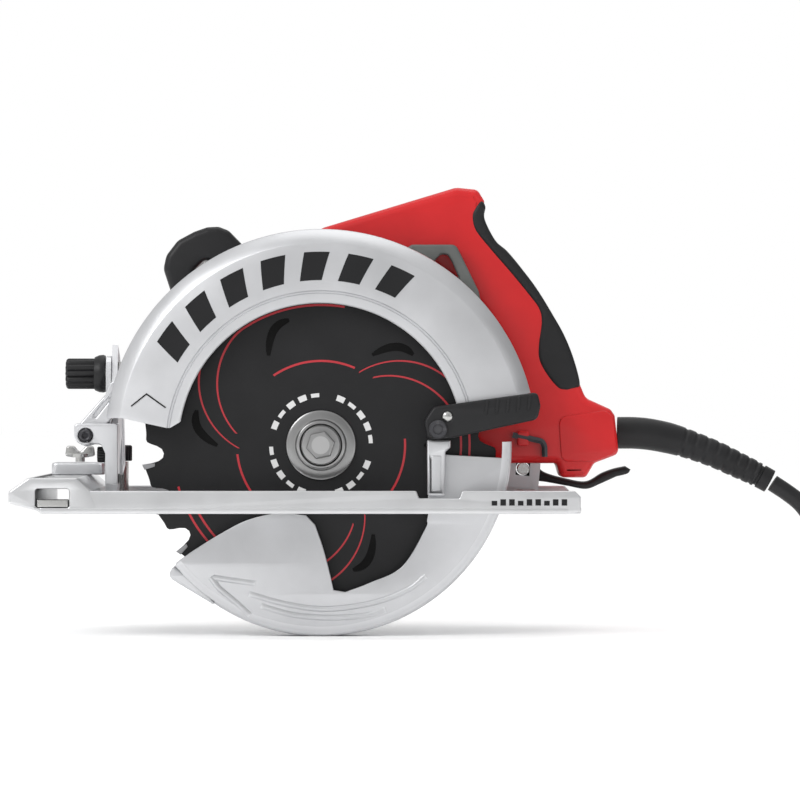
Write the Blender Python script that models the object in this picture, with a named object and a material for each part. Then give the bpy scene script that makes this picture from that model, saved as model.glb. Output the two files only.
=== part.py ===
"""Circular saw, left-blade sidewinder, built as an assembly of separate pieces.

Design frame (all lengths below are millimetres, angles degrees):
    X runs to the rear of the saw, Y from the blade to the motor, Z up from the sole of the foot,
    the arbor crosses the blade's middle plane at X = 0, Y = 0.
World frame (metres): the origin is on the floor under the middle of the saw, and the saw stands
upright with its lower guard on the floor. add_piece() turns the one into the other.
"""
import math

import bmesh
import bpy
from mathutils import Vector
from mathutils.geometry import tessellate_polygon

# ---------------------------------------------------------------- driving dimensions
MM = 0.001                      # one millimetre in Blender's metres
GAP = 0.3                       # gap kept between pieces that touch on the real saw

BLADE_R = 92.0                  # 184 mm blade
BLADE_THICK = 1.8
BLADE_TEETH = 24
FIRST_TIP = 216.3               # where one tooth's tip stands, in X-Z
ARBOR_Z = 34.3                  # height of the arbor over the sole at full depth

FOOT_FRONT, FOOT_REAR = -156.6, 131.9
FOOT_NEAR, FOOT_FAR = -38.0, 105.0
FOOT_THICK = 3.0
RIM_TOP = 11.6
HINGE_Y, HINGE_Z = 0.0, 4.5     # bevel hinge axis, along X

UPPER_R = 110.3                 # upper guard, outside
UPPER_FACE_Y, UPPER_BACK_Y = -12.0, 14.0
LOWER_R = 97.5                  # lower guard, outside
LOWER_FACE_Y, LOWER_BACK_Y = -8.5, 9.0

PIVOT_X, PIVOT_Z = -120.0, 39.2  # depth pivot, axis along Y

MODULE = 1.1                    # reduction gear
PINION_TEETH, GEAR_TEETH = 10, 42
GEAR_BACKLASH = 0.3             # at the pitch circle
SHAFT_SPACING = MODULE * (PINION_TEETH + GEAR_TEETH) / 2
MOTOR_ANGLE = 60.0              # direction from the arbor to the motor shaft, in X-Z
MOTOR_X = SHAFT_SPACING * math.cos(math.radians(MOTOR_ANGLE))
MOTOR_Z = ARBOR_Z + SHAFT_SPACING * math.sin(math.radians(MOTOR_ANGLE))
MOTOR_R = 42.0                  # motor housing, outside
GEARCASE_Y = (UPPER_BACK_Y + GAP, 41.0)
MOTOR_Y = (41.0 + GAP, 110.0)
END_CAP_Y = (110.0 + GAP, 132.0)

BEVEL_BOLT_Y, BEVEL_BOLT_Z = 26.0, 70.9
BEVEL_MAX = 50.0
HANDLE_Y = (26.0, 64.0)
HANDLE_SPLIT_Y = 45.0
DEPTH_PLATE_Y = (67.5, 70.0)    # rear depth bracket, outboard of the handle
DEPTH_R = 226.0                 # from the depth pivot to the lock bolt
DEPTH_BOLT_ANGLE = -4.6         # direction from the depth pivot to the lock bolt at full depth

CORD_D = 9.0
CORD_Y = 45.0
COIL_CENTRE = (342.0, 45.0)
COIL_R = (36.0, 64.0)
COIL_TOP = 27.0

# the saw's own box, without the cord: its middle is the world origin's X and Y
CENTRE_X = (FOOT_FRONT + 162.4) / 2
CENTRE_Y = (FOOT_NEAR + END_CAP_Y[1]) / 2
FLOOR_Z = ARBOR_Z - LOWER_R

MATERIALS = {
    # name: (colour, roughness, metallic)
    "red_plastic": ((0.55, 0.012, 0.010), 0.38, 0.0),
    "black_rubber": ((0.014, 0.014, 0.015), 0.72, 0.0),
    "black_plastic": ((0.018, 0.018, 0.019), 0.48, 0.0),
    "cast_aluminium": ((0.62, 0.63, 0.64), 0.42, 0.85),
    "magnesium_foot": ((0.66, 0.67, 0.68), 0.38, 0.85),
    "blade_coating": ((0.020, 0.020, 0.022), 0.42, 0.3),
    "bright_steel": ((0.70, 0.70, 0.69), 0.25, 1.0),
    "dark_steel": ((0.045, 0.045, 0.05), 0.4, 0.8),
    "copper": ((0.72, 0.30, 0.16), 0.35, 1.0),
    "carbon": ((0.02, 0.02, 0.02), 0.8, 0.0),
    "cord_rubber": ((0.016, 0.016, 0.017), 0.65, 0.0),
}


# ---------------------------------------------------------------- outlines
def arc(cx, cz, radius, start, end, steps):
    """Points on an arc, from start to end in degrees, both ends included."""
    points = []
    for i in range(steps + 1):
        angle = math.radians(start + (end - start) * i / steps)
        points.append((cx + radius * math.cos(angle), cz + radius * math.sin(angle)))
    return points


def circle(cx, cz, radius, steps=24):
    return arc(cx, cz, radius, 0, 360 - 360 / steps, steps - 1)


def rect(x0, z0, x1, z1):
    return [(x0, z0), (x1, z0), (x1, z1), (x0, z1)]


def rounded(points, radius, steps=3):
    """A polygon with its corners rounded; radius is one value or one for each corner."""
    out = []
    count = len(points)
    for i, corner in enumerate(points):
        r = radius[i] if isinstance(radius, (list, tuple)) else radius
        here = Vector(corner)
        before = (Vector(points[i - 1]) - here)
        after = (Vector(points[(i + 1) % count]) - here)
        if r <= 0:
            out.append(corner)
            continue
        half = before.angle(after) / 2
        reach = min(r / math.tan(half), 0.45 * before.length, 0.45 * after.length)
        start = here + before.normalized() * reach
        end = here + after.normalized() * reach
        for s in range(steps + 1):
            t = s / steps
            p = start * (1 - t) ** 2 + here * (2 * t * (1 - t)) + end * t ** 2
            out.append((p.x, p.y))
    return out


def stadium(a, b, radius, steps=8):
    """A slot's outline: two half circles of one radius about a and b."""
    direction = math.degrees(math.atan2(b[1] - a[1], b[0] - a[0]))
    return (arc(a[0], a[1], radius, direction + 90, direction + 270, steps)
            + arc(b[0], b[1], radius, direction - 90, direction + 90, steps))


def offset(points, distance):
    """A polygon moved inwards by distance (outwards when negative), corners mitred."""
    area = sum(a[0] * b[1] - b[0] * a[1] for a, b in zip(points, points[1:] + points[:1]))
    side = 1 if area > 0 else -1
    out = []
    for i, corner in enumerate(points):
        here = Vector(corner)
        d0 = (here - Vector(points[i - 1])).normalized()
        d1 = (Vector(points[(i + 1) % len(points)]) - here).normalized()
        n0 = Vector((-d0.y, d0.x)) * side
        n1 = Vector((-d1.y, d1.x)) * side
        bisector = (n0 + n1).normalized()
        p = here + bisector * (distance / max(0.35, bisector.dot(n0)))
        out.append((p.x, p.y))
    return out


def turn(points, cx, cz, degrees):
    c, s = math.cos(math.radians(degrees)), math.sin(math.radians(degrees))
    return [(cx + (x - cx) * c - (z - cz) * s, cz + (x - cx) * s + (z - cz) * c)
            for x, z in points]


# ---------------------------------------------------------------- solids, as bmeshes in millimetres
AXES = {                        # where an outline's two numbers and its depth go
    "Y": lambda u, v, w: (u, w, v),
    "X": lambda u, v, w: (w, u, v),
    "Z": lambda u, v, w: (u, v, w),
}


def close_up(bm):
    bmesh.ops.recalc_face_normals(bm, faces=bm.faces)
    return bm


def slab(outline, lo, hi, axis="Y", holes=(), bevel=0.0, segments=2, bevel_ends="both"):
    """An outline drawn out along an axis from lo to hi, with through holes and rounded end edges."""
    place = AXES[axis]
    bm = bmesh.new()
    loops = [list(outline)] + [list(h) for h in holes]
    rings = [[[bm.verts.new(place(u, v, w)) for u, v in loop] for loop in loops] for w in (lo, hi)]
    for ring_lo, ring_hi in zip(rings[0], rings[1]):
        for i in range(len(ring_lo)):
            j = (i + 1) % len(ring_lo)
            bm.faces.new((ring_lo[i], ring_lo[j], ring_hi[j], ring_hi[i]))
    if len(loops) == 1:
        bm.faces.new(rings[0][0])
        bm.faces.new(rings[1][0])
    else:
        flat = [[Vector((u, v, 0)) for u, v in loop] for loop in loops]
        for end in rings:
            verts = [v for loop in end for v in loop]
            for a, b, c in tessellate_polygon(flat):
                bm.faces.new((verts[a], verts[b], verts[c]))
    close_up(bm)
    if bevel:
        index = {"Y": 1, "X": 0, "Z": 2}[axis]
        ends = {"both": (lo, hi), "lo": (lo,), "hi": (hi,)}[bevel_ends]
        edges = [e for e in bm.edges
                 if any(abs(e.verts[0].co[index] - w) < 1e-6 and abs(e.verts[1].co[index] - w) < 1e-6
                        for w in ends)
                 and e.calc_face_angle(0) > 0.8]
        bmesh.ops.bevel(bm, geom=edges, offset=bevel, segments=segments, profile=0.5,
                        affect="EDGES", clamp_overlap=True)
    return bm


def box(x0, x1, y0, y1, z0, z1, bevel=0.0):
    bm = slab(rect(x0, z0, x1, z1), y0, y1)
    if bevel:
        bmesh.ops.bevel(bm, geom=list(bm.edges), offset=bevel, segments=1, affect="EDGES")
    return bm


def turned(profile, centre, axis="Y", steps=24, closed=False):
    """A profile of (radius, distance along the axis) turned about the axis through centre.

    An open profile starts and ends on the axis; a closed one is a ring.
    """
    place = AXES[axis]
    bm = bmesh.new()
    rings = []
    for radius, along in profile:
        if radius < 1e-6:
            rings.append([bm.verts.new(place(centre[0], centre[1], along))])
            continue
        ring = []
        for i in range(steps):
            angle = 2 * math.pi * i / steps
            ring.append(bm.verts.new(place(centre[0] + radius * math.cos(angle),
                                           centre[1] + radius * math.sin(angle), along)))
        rings.append(ring)
    pairs = list(zip(rings, rings[1:] + (rings[:1] if closed else [])))
    if not closed:
        pairs = pairs[:len(rings) - 1]
    for a, b in pairs:
        for i in range(steps):
            j = (i + 1) % steps
            if len(a) == 1 and len(b) > 1:
                bm.faces.new((a[0], b[j], b[i]))
            elif len(b) == 1 and len(a) > 1:
                bm.faces.new((a[i], a[j], b[0]))
            elif len(a) > 1:
                bm.faces.new((a[i], a[j], b[j], b[i]))
    return close_up(bm)


def rod(centre, radius, lo, hi, axis="Y", steps=16, chamfer=0.0):
    """A round bar, its ends chamfered."""
    if chamfer:
        profile = [(0, lo), (radius - chamfer, lo), (radius, lo + chamfer),
                   (radius, hi - chamfer), (radius - chamfer, hi), (0, hi)]
    else:
        profile = [(0, lo), (radius, lo), (radius, hi), (0, hi)]
    return turned(profile, centre, axis, steps)


def ring(centre, inner, outer, lo, hi, axis="Y", steps=24):
    return turned([(inner, lo), (outer, lo), (outer, hi), (inner, hi)], centre, axis, steps, True)


def swept(path, radius_at, sides=10):
    """A round bar along a path of points; radius_at(t) gives its radius, t from 0 to 1."""
    bm = bmesh.new()
    points = [Vector(p) for p in path]
    last = len(points) - 1
    side = None
    rings = []
    for i, p in enumerate(points):
        tangent = (points[min(i + 1, last)] - points[max(i - 1, 0)]).normalized()
        if side is None:
            side = tangent.orthogonal().normalized()
        side = (side - tangent * side.dot(tangent)).normalized()
        up = tangent.cross(side)
        r = radius_at(i / last)
        rings.append([bm.verts.new(p + (side * math.cos(a) + up * math.sin(a)) * r)
                      for a in (2 * math.pi * k / sides for k in range(sides))])
    for a, b in zip(rings, rings[1:]):
        for k in range(sides):
            bm.faces.new((a[k], a[(k + 1) % sides], b[(k + 1) % sides], b[k]))
    bm.faces.new(rings[0])
    bm.faces.new(rings[-1])
    return close_up(bm)


def merged(*solids):
    """Several solids in one bmesh, for a cutter."""
    out = bmesh.new()
    for bm in solids:
        mesh = bpy.data.meshes.new("scratch")
        bm.to_mesh(mesh)
        bm.free()
        out.from_mesh(mesh)
        bpy.data.meshes.remove(mesh)
    return out


# ---------------------------------------------------------------- objects
def world(x, y, z):
    return Vector((x - CENTRE_X, y - CENTRE_Y, z - FLOOR_Z)) * MM


def material(name):
    found = bpy.data.materials.get(name)
    if found:
        return found
    colour, roughness, metallic = MATERIALS[name]
    made = bpy.data.materials.new(name)
    made.use_nodes = True
    shader = made.node_tree.nodes["Principled BSDF"]
    shader.inputs["Base Color"].default_value = (*colour, 1)
    shader.inputs["Roughness"].default_value = roughness
    shader.inputs["Metallic"].default_value = metallic
    return made


def mesh_object(name, bm, pivot):
    """An object whose origin is at pivot, from a bmesh in the design frame."""
    for vert in bm.verts:
        vert.co = (vert.co - Vector(pivot)) * MM
    mesh = bpy.data.meshes.new(name)
    bm.to_mesh(mesh)
    bm.free()
    made = bpy.data.objects.new(name, mesh)
    made.location = world(*pivot)
    bpy.context.scene.collection.objects.link(made)
    return made


def combine(obj, bm, operation):
    """A Boolean with a hidden tool made of bm."""
    tool = mesh_object(f"{obj.name}_tool_{len(obj.modifiers) + 1}", bm, (0, 0, 0))
    tool.hide_render = True
    tool.display_type = "WIRE"
    modifier = obj.modifiers.new(operation.title(), "BOOLEAN")
    modifier.object = tool
    modifier.operation = operation
    modifier.solver = "EXACT"


def add_piece(name, finish, bm, pivot=(0, 0, 0), add=(), cut=()):
    """One sub-part: its solid, the solids joined to it, then the solids cut from it."""
    obj = mesh_object(name, bm, pivot)
    obj.data.materials.append(material(finish))
    for extra in add:
        combine(obj, extra, "UNION")
    for cutter in cut:
        combine(obj, cutter, "DIFFERENCE")
    obj.data.shade_smooth()
    obj.data.set_sharp_from_angle(angle=math.radians(35))
    return obj


# ---------------------------------------------------------------- foot and bevel
def foot():
    outline = rounded([(FOOT_FRONT, FOOT_NEAR), (FOOT_REAR, FOOT_NEAR),
                       (FOOT_REAR, FOOT_FAR), (FOOT_FRONT, FOOT_FAR)], [10, 8, 8, 10])
    slot = rounded([(-110.4, -10.5), (-98, -10.5), (-98, -18), (44, -18), (44, -26), (78, -26), (78, -20),
                    (112, -20), (112, 21), (-100, 21), (-110.4, 11)], 2)
    plate = slab(outline, 0, FOOT_THICK, "Z", holes=[slot])
    toe = [(-143.0, 0.4), (-156.6, 4.8), (-156.6, 11.1), (-146.6, 18.1), (-122.5, 18.1), (-115.4, 11.6),
           (-112.0, 2.0), (-139.5, 0.4)]
    rim = [(-116, 1), (FOOT_REAR - 1, 1), (FOOT_REAR - 1, RIM_TOP - 2), (FOOT_REAR - 3, RIM_TOP), (70.6, RIM_TOP),
           (70.6, 7.8), (49.5, 7.8), (49.5, RIM_TOP), (-116, RIM_TOP)]
    near_rim = slab(rim, FOOT_NEAR + 0.3, FOOT_NEAR + 2.3)
    far_rim = slab(rim, FOOT_FAR - 2.3, FOOT_FAR - 0.3)
    nose = slab(rounded(toe, 1.5), FOOT_NEAR + 0.1, FOOT_FAR - 0.1)
    fence_window = slab(rounded(rect(-143.1, 3.0, -126.0, 12.6), 1.5), FOOT_NEAR - 5, FOOT_FAR + 5)
    hinge_boss = box(-118, -110.3, -7, 7, 1, 9.5)
    pin_bore = rod((HINGE_Y, HINGE_Z), 2.4, -119, -100, "X")
    rear_boss = box(112.3, 120, -7, 7, 1, 9.5)
    rear_bore = rod((HINGE_Y, HINGE_Z), 2.4, 100, 121, "X")
    toe_cut = slab([(-160, -5), (-100, -5), (-100, -0.001), (-139.5, -0.001), (-143, 0.6), (-160, 5.2)],
                   FOOT_NEAR - 5, FOOT_FAR + 5)
    add_piece("foot_plate", "magnesium_foot", plate, add=[nose, near_rim, far_rim, hinge_boss, rear_boss],
              cut=[toe_cut, fence_window, pin_bore, rear_bore])
    add_piece("front_hinge_pin", "bright_steel", rod((HINGE_Y, HINGE_Z), 2.0, -117.5, -101, "X", 12))
    add_piece("rear_hinge_pin", "bright_steel", rod((HINGE_Y, HINGE_Z), 2.0, 101.5, 119.5, "X", 12))


def fence_clamp():
    bracket = box(-138, -118, 46, 70, 18.4, 24.6, 1.0)
    add_piece("fence_clamp_bracket", "cast_aluminium", bracket)
    centre = (-127.5, 58)
    screw = slab(lobed(centre, 7.5, 0.7, 8), 27, 33.5, "Z")
    stem = rod(centre, 2.5, 24.9, 28, "Z", 12)
    add_piece("fence_thumb_screw", "bright_steel", screw, (*centre, 27), add=[stem])
    post = rod((-107.5, 88), 3.6, 3.3, 24.6, "Z", 16)
    add_piece("fence_lock_post", "bright_steel", post)
    nut = slab(lobed((-107.5, 88), 5.4, 0.5, 10), 24.9, 33.3, "Z", bevel=0.8)
    add_piece("fence_lock_nut", "black_plastic", nut, (-109.5, 88, 25))


def lobed(centre, radius, depth, lobes, steps=4):
    """A round outline with shallow flutes, its radius following a cosine."""
    count = lobes * steps
    out = []
    for i in range(count):
        angle = 2 * math.pi * i / count
        r = radius - depth * (0.5 - 0.5 * math.cos(lobes * angle))
        out.append((centre[0] + r * math.cos(angle), centre[1] + r * math.sin(angle)))
    return out


def bevel_parts():
    pivot = (-100, HINGE_Y, HINGE_Z)
    bolt_r = math.hypot(BEVEL_BOLT_Y - HINGE_Y, BEVEL_BOLT_Z - HINGE_Z)
    bolt_angle = math.degrees(math.atan2(BEVEL_BOLT_Z - HINGE_Z, BEVEL_BOLT_Y - HINGE_Y))
    top, bottom = bolt_angle + 6, bolt_angle - BEVEL_MAX - 6
    # fixed upright on the foot, which carries the knob's bolt
    upright = slab(rounded([(16, 3.3), (44, 3.3), (37, 80), (17, 80)], [1, 1, 7, 7]), -111.2, -108.6, "X")
    bolt_hole = rod((BEVEL_BOLT_Y, BEVEL_BOLT_Z), 3.6, -112, -108, "X")
    add_piece("bevel_upright", "cast_aluminium", upright, cut=[bolt_hole])
    # quadrant on the tilting bracket: a band about the hinge with a slot for the bolt
    inner, outer = bolt_r - 9, bolt_r + 13
    band = (arc(HINGE_Y, HINGE_Z, outer, bottom, top, 10) + arc(HINGE_Y, HINGE_Z, inner, top, bottom, 10))
    groove = (arc(HINGE_Y, HINGE_Z, bolt_r + 3.7, bottom + 2, top - 2, 10)
              + arc(HINGE_Y, HINGE_Z, bolt_r - 3.7, top - 2, bottom + 2, 10))
    quadrant = slab(band, -108.3, -105.3, "X", holes=[groove])
    arm = slab([(9.6, 14), (18, 14), (52, 38), (38, 58), (9.6, 34)], -108.3, -105.3, "X")
    add_piece("bevel_quadrant", "cast_aluminium", quadrant, pivot, add=[arm])
    bolt = rod((BEVEL_BOLT_Y, BEVEL_BOLT_Z), 3.2, -126, -103.4, "X", 16)
    head = slab(circle(BEVEL_BOLT_Y, BEVEL_BOLT_Z, 7.0, 6), -104.9, -101.8, "X")
    add_piece("bevel_bolt", "bright_steel", bolt, add=[head])
    knob = slab(lobed((BEVEL_BOLT_Y, BEVEL_BOLT_Z), 7.9, 0.9, 10), -132.6, -112.9, "X", bevel=0.8)
    flange = rod((BEVEL_BOLT_Y, BEVEL_BOLT_Z), 9.8, -114.4, -111.5, "X", 20)
    bore = rod((BEVEL_BOLT_Y, BEVEL_BOLT_Z), 3.5, -127, -100, "X")
    add_piece("bevel_knob", "black_plastic", knob, (-120, BEVEL_BOLT_Y, BEVEL_BOLT_Z), add=[flange], cut=[bore])
    # tilting bracket: hinge lug, block and clevis for the depth pivot
    lug = slab(rounded([(-5, 0.9), (5, 0.9), (7.5, 14), (7.5, 45.5), (-7.5, 45.5), (-7.5, 14)], 1), -110, -103.4, "X")
    block = box(-125.8, -103.6, -7.5, 7.5, 34.6, 45.4, 1.5)
    clevis_slot = box(-130, -106.5, -4.3, 4.3, 28, 50)
    pin_bore = rod((PIVOT_X, PIVOT_Z), 3.6, -12, 12)
    hinge_bore = rod((HINGE_Y, HINGE_Z), 2.4, -112, -100, "X")
    add_piece("tilt_bracket", "cast_aluminium", lug, pivot, add=[block], cut=[clevis_slot, pin_bore, hinge_bore])
    add_piece("depth_pivot_pin", "bright_steel", rod((PIVOT_X, PIVOT_Z), 3.3, -8.3, 8.3, "Y", 16, 0.5), pivot)


def depth_point(radius, angle):
    a = math.radians(angle)
    return (PIVOT_X + radius * math.cos(a), PIVOT_Z + radius * math.sin(a))


def depth_parts():
    pivot = (105, HINGE_Y, HINGE_Z)
    y0, y1 = DEPTH_PLATE_Y
    low, high = DEPTH_BOLT_ANGLE - 2.6, DEPTH_BOLT_ANGLE + 28.5
    band = (arc(PIVOT_X, PIVOT_Z, DEPTH_R - 9, low, high, 10)
            + arc(PIVOT_X, PIVOT_Z, DEPTH_R + 9, high, low, 10))
    groove = (arc(PIVOT_X, PIVOT_Z, DEPTH_R - 3.7, low + 1.7, high - 1.2, 10)
              + arc(PIVOT_X, PIVOT_Z, DEPTH_R + 3.7, high - 1.2, low + 1.7, 10))
    plate = slab(band, y0, y1, holes=[groove])
    cross = box(101, 111, -5, y1 - 0.4, 7, 10.5)
    knuckle = rod((HINGE_Y, HINGE_Z), 4.0, 102, 111.4, "X", 16)
    neck = box(102, 111.2, -3, 3, 4, 9)
    bore = rod((HINGE_Y, HINGE_Z), 2.4, 100, 113, "X")
    add_piece("depth_bracket", "cast_aluminium", plate, pivot, add=[cross, neck, knuckle], cut=[bore])
    bx, bz = depth_point(DEPTH_R, DEPTH_BOLT_ANGLE)
    add_piece("depth_lock_bolt", "bright_steel", rod((bx, bz), 3.2, HANDLE_Y[1] + 0.4, 79.4, "Y", 16, 0.4))
    lever = [(bx - 7, bz), (bx, bz + 8), (112, 21), (128.5, 17.4), (138.8, 15.6), (146.7, 20), (156.9, 23),
             (162.4, 21.6), (157, 17.6), (146.7, 13.6), (138.8, 10.3), (128.5, 12), (bx, bz - 7)]
    handle = slab(rounded(lever, 2.5, 2), 71, 79)
    add_piece("depth_lock_lever", "black_plastic", handle, (bx, 75, bz), cut=[rod((bx, bz), 3.5, 60, 90)])


# ---------------------------------------------------------------- guards
def ring_sector(section, cz, start, end, steps):
    """A closed section of (radius, Y) points turned about the arbor from start to end degrees."""
    bm = bmesh.new()
    rings = []
    for i in range(steps + 1):
        angle = math.radians(start + (end - start) * i / steps)
        rings.append([bm.verts.new((r * math.cos(angle), y, cz + r * math.sin(angle))) for r, y in section])
    for a, b in zip(rings, rings[1:]):
        for k in range(len(section)):
            n = (k + 1) % len(section)
            bm.faces.new((a[k], a[n], b[n], b[k]))
    bm.faces.new(rings[0])
    bm.faces.new(rings[-1])
    return close_up(bm)


def upper_guard():
    cz = ARBOR_Z
    start, end, inner = 14.0, 177.0, 72.3
    face_y, back_y = UPPER_FACE_Y, UPPER_BACK_Y
    section = [(inner, face_y), (103.2, face_y), (UPPER_R, face_y + 6.6), (UPPER_R, back_y),
               (UPPER_R - 2.5, back_y), (UPPER_R - 2.5, face_y + 7.6), (102.2, face_y + 2.5), (inner, face_y + 2.5)]
    shell = ring_sector(section, cz, start, end, 32)
    back = slab(arc(0, cz, UPPER_R - 1.2, 16, 164, 26) + [(-70, 40), (-20, 12), (24, 12), (70, 30)],
                back_y - 2.5, back_y - 0.1)
    ear = slab(rounded([(-125, 35.5), (-116.5, 33.7), (-113, 40), (-100.5, 57), (-99.5, 66), (-106.6, 64),
                        (-125.4, 42.6)], 3, 2), -4, 4)
    end_outline = [(-130, 20), (-60, 20), (-60, 43.1), (-95.4, 43.1), (-102, 48.1), (-130, 48.1)]
    near_end = slab(end_outline, -20, -4.1)
    far_end = slab(end_outline, 4.1, 20)
    corner = slab([(-75.6, 43.0), (-60, 58.6), (-60, 40)], -20, -6)
    add_piece("upper_guard", "cast_aluminium", shell, add=[back, ear],
              cut=[near_end, far_end, corner, rod((0, cz), 17, 0, 30), rod((-38, 66), 6, 5, 30),
                   rod((PIVOT_X, PIVOT_Z), 3.6, -12, 12)])


def lower_guard():
    cz = ARBOR_Z
    centre = (0, 0, cz)
    crescent = [(54.7, 30), (54.7, -1), (53.5, -7), (41.4, -27.6), (24.6, -36.2), (10.7, -40.9), (5.5, -39),
                (3.8, -27), (-0.5, -13), (-4, -4), (-21, -0.5), (-36.3, -3.5), (-49.6, -10), (-63.4, -18),
                (-70.5, -23)]
    outer = arc(0, cz, LOWER_R - 1.1, 219, 357, 24)
    face = slab(crescent + outer, LOWER_FACE_Y + 0.1, LOWER_FACE_Y + 1.8)
    rim = slab(arc(0, cz, LOWER_R, 219.5, 362, 26) + arc(0, cz, LOWER_R - 2.2, 362, 219.5, 26),
               LOWER_FACE_Y, LOWER_BACK_Y)
    back = slab(arc(0, cz, LOWER_R - 1.2, 220, 352, 22) + [(60, 20), (20, cz + 20), (-16, cz + 12), (-40, -8)],
                LOWER_BACK_Y - 1.8, LOWER_BACK_Y - 0.1)
    hub = rod((0, cz), 19.5, LOWER_BACK_Y - 1.0, LOWER_BACK_Y + 2)
    bore = rod((0, cz), 15.2, 0, 30, "Y", 24)
    arm = box(55.4, 63.0, -16, -7, 8.8, 34)
    shelf = box(54.2, 66.2, -15.8, -8.7, 32.5, 37)
    lip = slab([(-70, -31.5), (-75.4, -28.0), (-76.8, -30.4), (-77.0, -32.4), (-75.6, -34), (-71.5, -36.8),
                (-64, -41.5), (-56, -46.5), (-58, -43)], LOWER_FACE_Y + 0.1, LOWER_BACK_Y - 0.1)
    add_piece("lower_guard", "cast_aluminium", rim, centre, add=[face, back, hub, arm, shelf, lip],
              cut=[bore])
    # lift lever: a silver cast arm carries the black grip in front of the upper guard
    grip = rounded([(57.5, 53.9), (110.2, 61.3), (111.8, 54.5), (110.2, 47.4), (66.9, 38.0), (54.3, 37.4),
                    (52.7, 46.8)], 3, 2)
    bolt_at, rivet_at = (59.7, 42.4), (64.5, 48.9)
    add_piece("lift_lever", "black_plastic", slab(grip, -18.6, -12.6, bevel=1.0), centre,
              cut=[rod(bolt_at, 2.9, -25, -5, "Y", 12), rod(rivet_at, 2.3, -25, -5, "Y", 12)])
    add_piece("lift_lever_bolt", "bright_steel", rod(bolt_at, 2.6, -20.4, -12.8, "Y", 12), centre)
    add_piece("lift_lever_rivet", "bright_steel", rod(rivet_at, 2.0, -19.4, -12.8, "Y", 12), centre)
    spring = []
    turns, steps = 3, 14
    for i in range(turns * steps + 1):
        a = 2 * math.pi * i / steps
        spring.append((13.0 * math.cos(a), 15.2 + 1.8 * i / steps, cz + 13.0 * math.sin(a)))
    add_piece("guard_spring", "dark_steel", swept(spring, lambda t: 0.7, 6), centre)


# ---------------------------------------------------------------- blade, gears and motor
def blade_parts():
    cz = ARBOR_Z
    centre = (0, 0, cz)
    pitch = 360.0 / BLADE_TEETH
    outline = []
    for i in range(BLADE_TEETH):
        tip = FIRST_TIP - i * pitch
        # each tooth: tip, gullet floor ahead of it, then the rise to the shoulder
        for angle, radius in ((0.0, 1.0), (-0.8, 0.93), (-2.6, 0.875), (-5.4, 0.885), (-7.0, 0.965), (-9.5, 0.97)):
            a = math.radians(tip + angle)
            outline.append((BLADE_R * radius * math.cos(a), cz + BLADE_R * radius * math.sin(a)))
    plate = slab(outline, -BLADE_THICK / 2, BLADE_THICK / 2, holes=[circle(0, cz, 8.3, 16)])
    add_piece("saw_blade", "blade_coating", plate, centre)
    add_piece("arbor_shaft", "bright_steel",
              turned([(0, -6.2), (7.6, -6.2), (7.6, 4.6), (9.7, 4.6), (9.7, 38.6), (0, 38.6)], (0, cz)),
              centre, cut=[rod((0, cz), 3.4, -20, 2, "Y", 12)])
    add_piece("inner_flange", "dark_steel", ring((0, cz), 7.9, 14.5, 1.2, 4.3), centre)
    add_piece("outer_flange", "dark_steel",
              turned([(7.9, -1.2), (17.8, -1.2), (17.8, -3.2), (12.5, -4.6), (7.9, -4.6)], (0, cz), closed=True),
              centre)
    add_piece("blade_bolt", "bright_steel", rod((0, cz), 10, -8.6, -6.5), centre,
              add=[slab(circle(0, cz, 7.5, 6), -14.0, -8.0), rod((0, cz), 3.0, -8, 1.5, "Y", 12)])


def gear_outline(teeth, thin, cx, cz, phase):
    """A gear's outline: involute flanks (25 degree pressure angle) on a stub tooth."""
    pitch_r = MODULE * teeth / 2
    base_r = pitch_r * math.cos(math.radians(25))
    tip_r, root_r = pitch_r + 0.8 * MODULE, pitch_r - 1.05 * MODULE
    half = math.pi / (2 * teeth) - thin / (2 * pitch_r)

    def flank(radius):
        """Half the tooth's angle at a radius."""
        def involute(r):
            ratio = min(1.0, base_r / r)
            alpha = math.acos(ratio)
            return math.tan(alpha) - alpha
        return half + involute(pitch_r) - involute(max(radius, base_r))

    radii = [root_r, max(root_r + 0.1, base_r), (pitch_r + base_r) / 2 + 0.2, tip_r]
    radii = sorted(radii)
    out = []
    for i in range(teeth):
        middle = phase + 2 * math.pi * i / teeth
        for r in radii:
            out.append((cx + r * math.cos(middle - flank(r)), cz + r * math.sin(middle - flank(r))))
        for r in reversed(radii):
            out.append((cx + r * math.cos(middle + flank(r)), cz + r * math.sin(middle + flank(r))))
    return out


def case_outline():
    """The gear case from the side: round under the gear, wide over the motor's end."""
    low = arc(0, ARBOR_Z, 28.6, 185, 335, 12)
    high = [(60, 52), (60, 88), (30, 104), (-6, 104), (-28.6, 72)]
    return rounded(low + high, [0] * 13 + [12] * 5)


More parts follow.
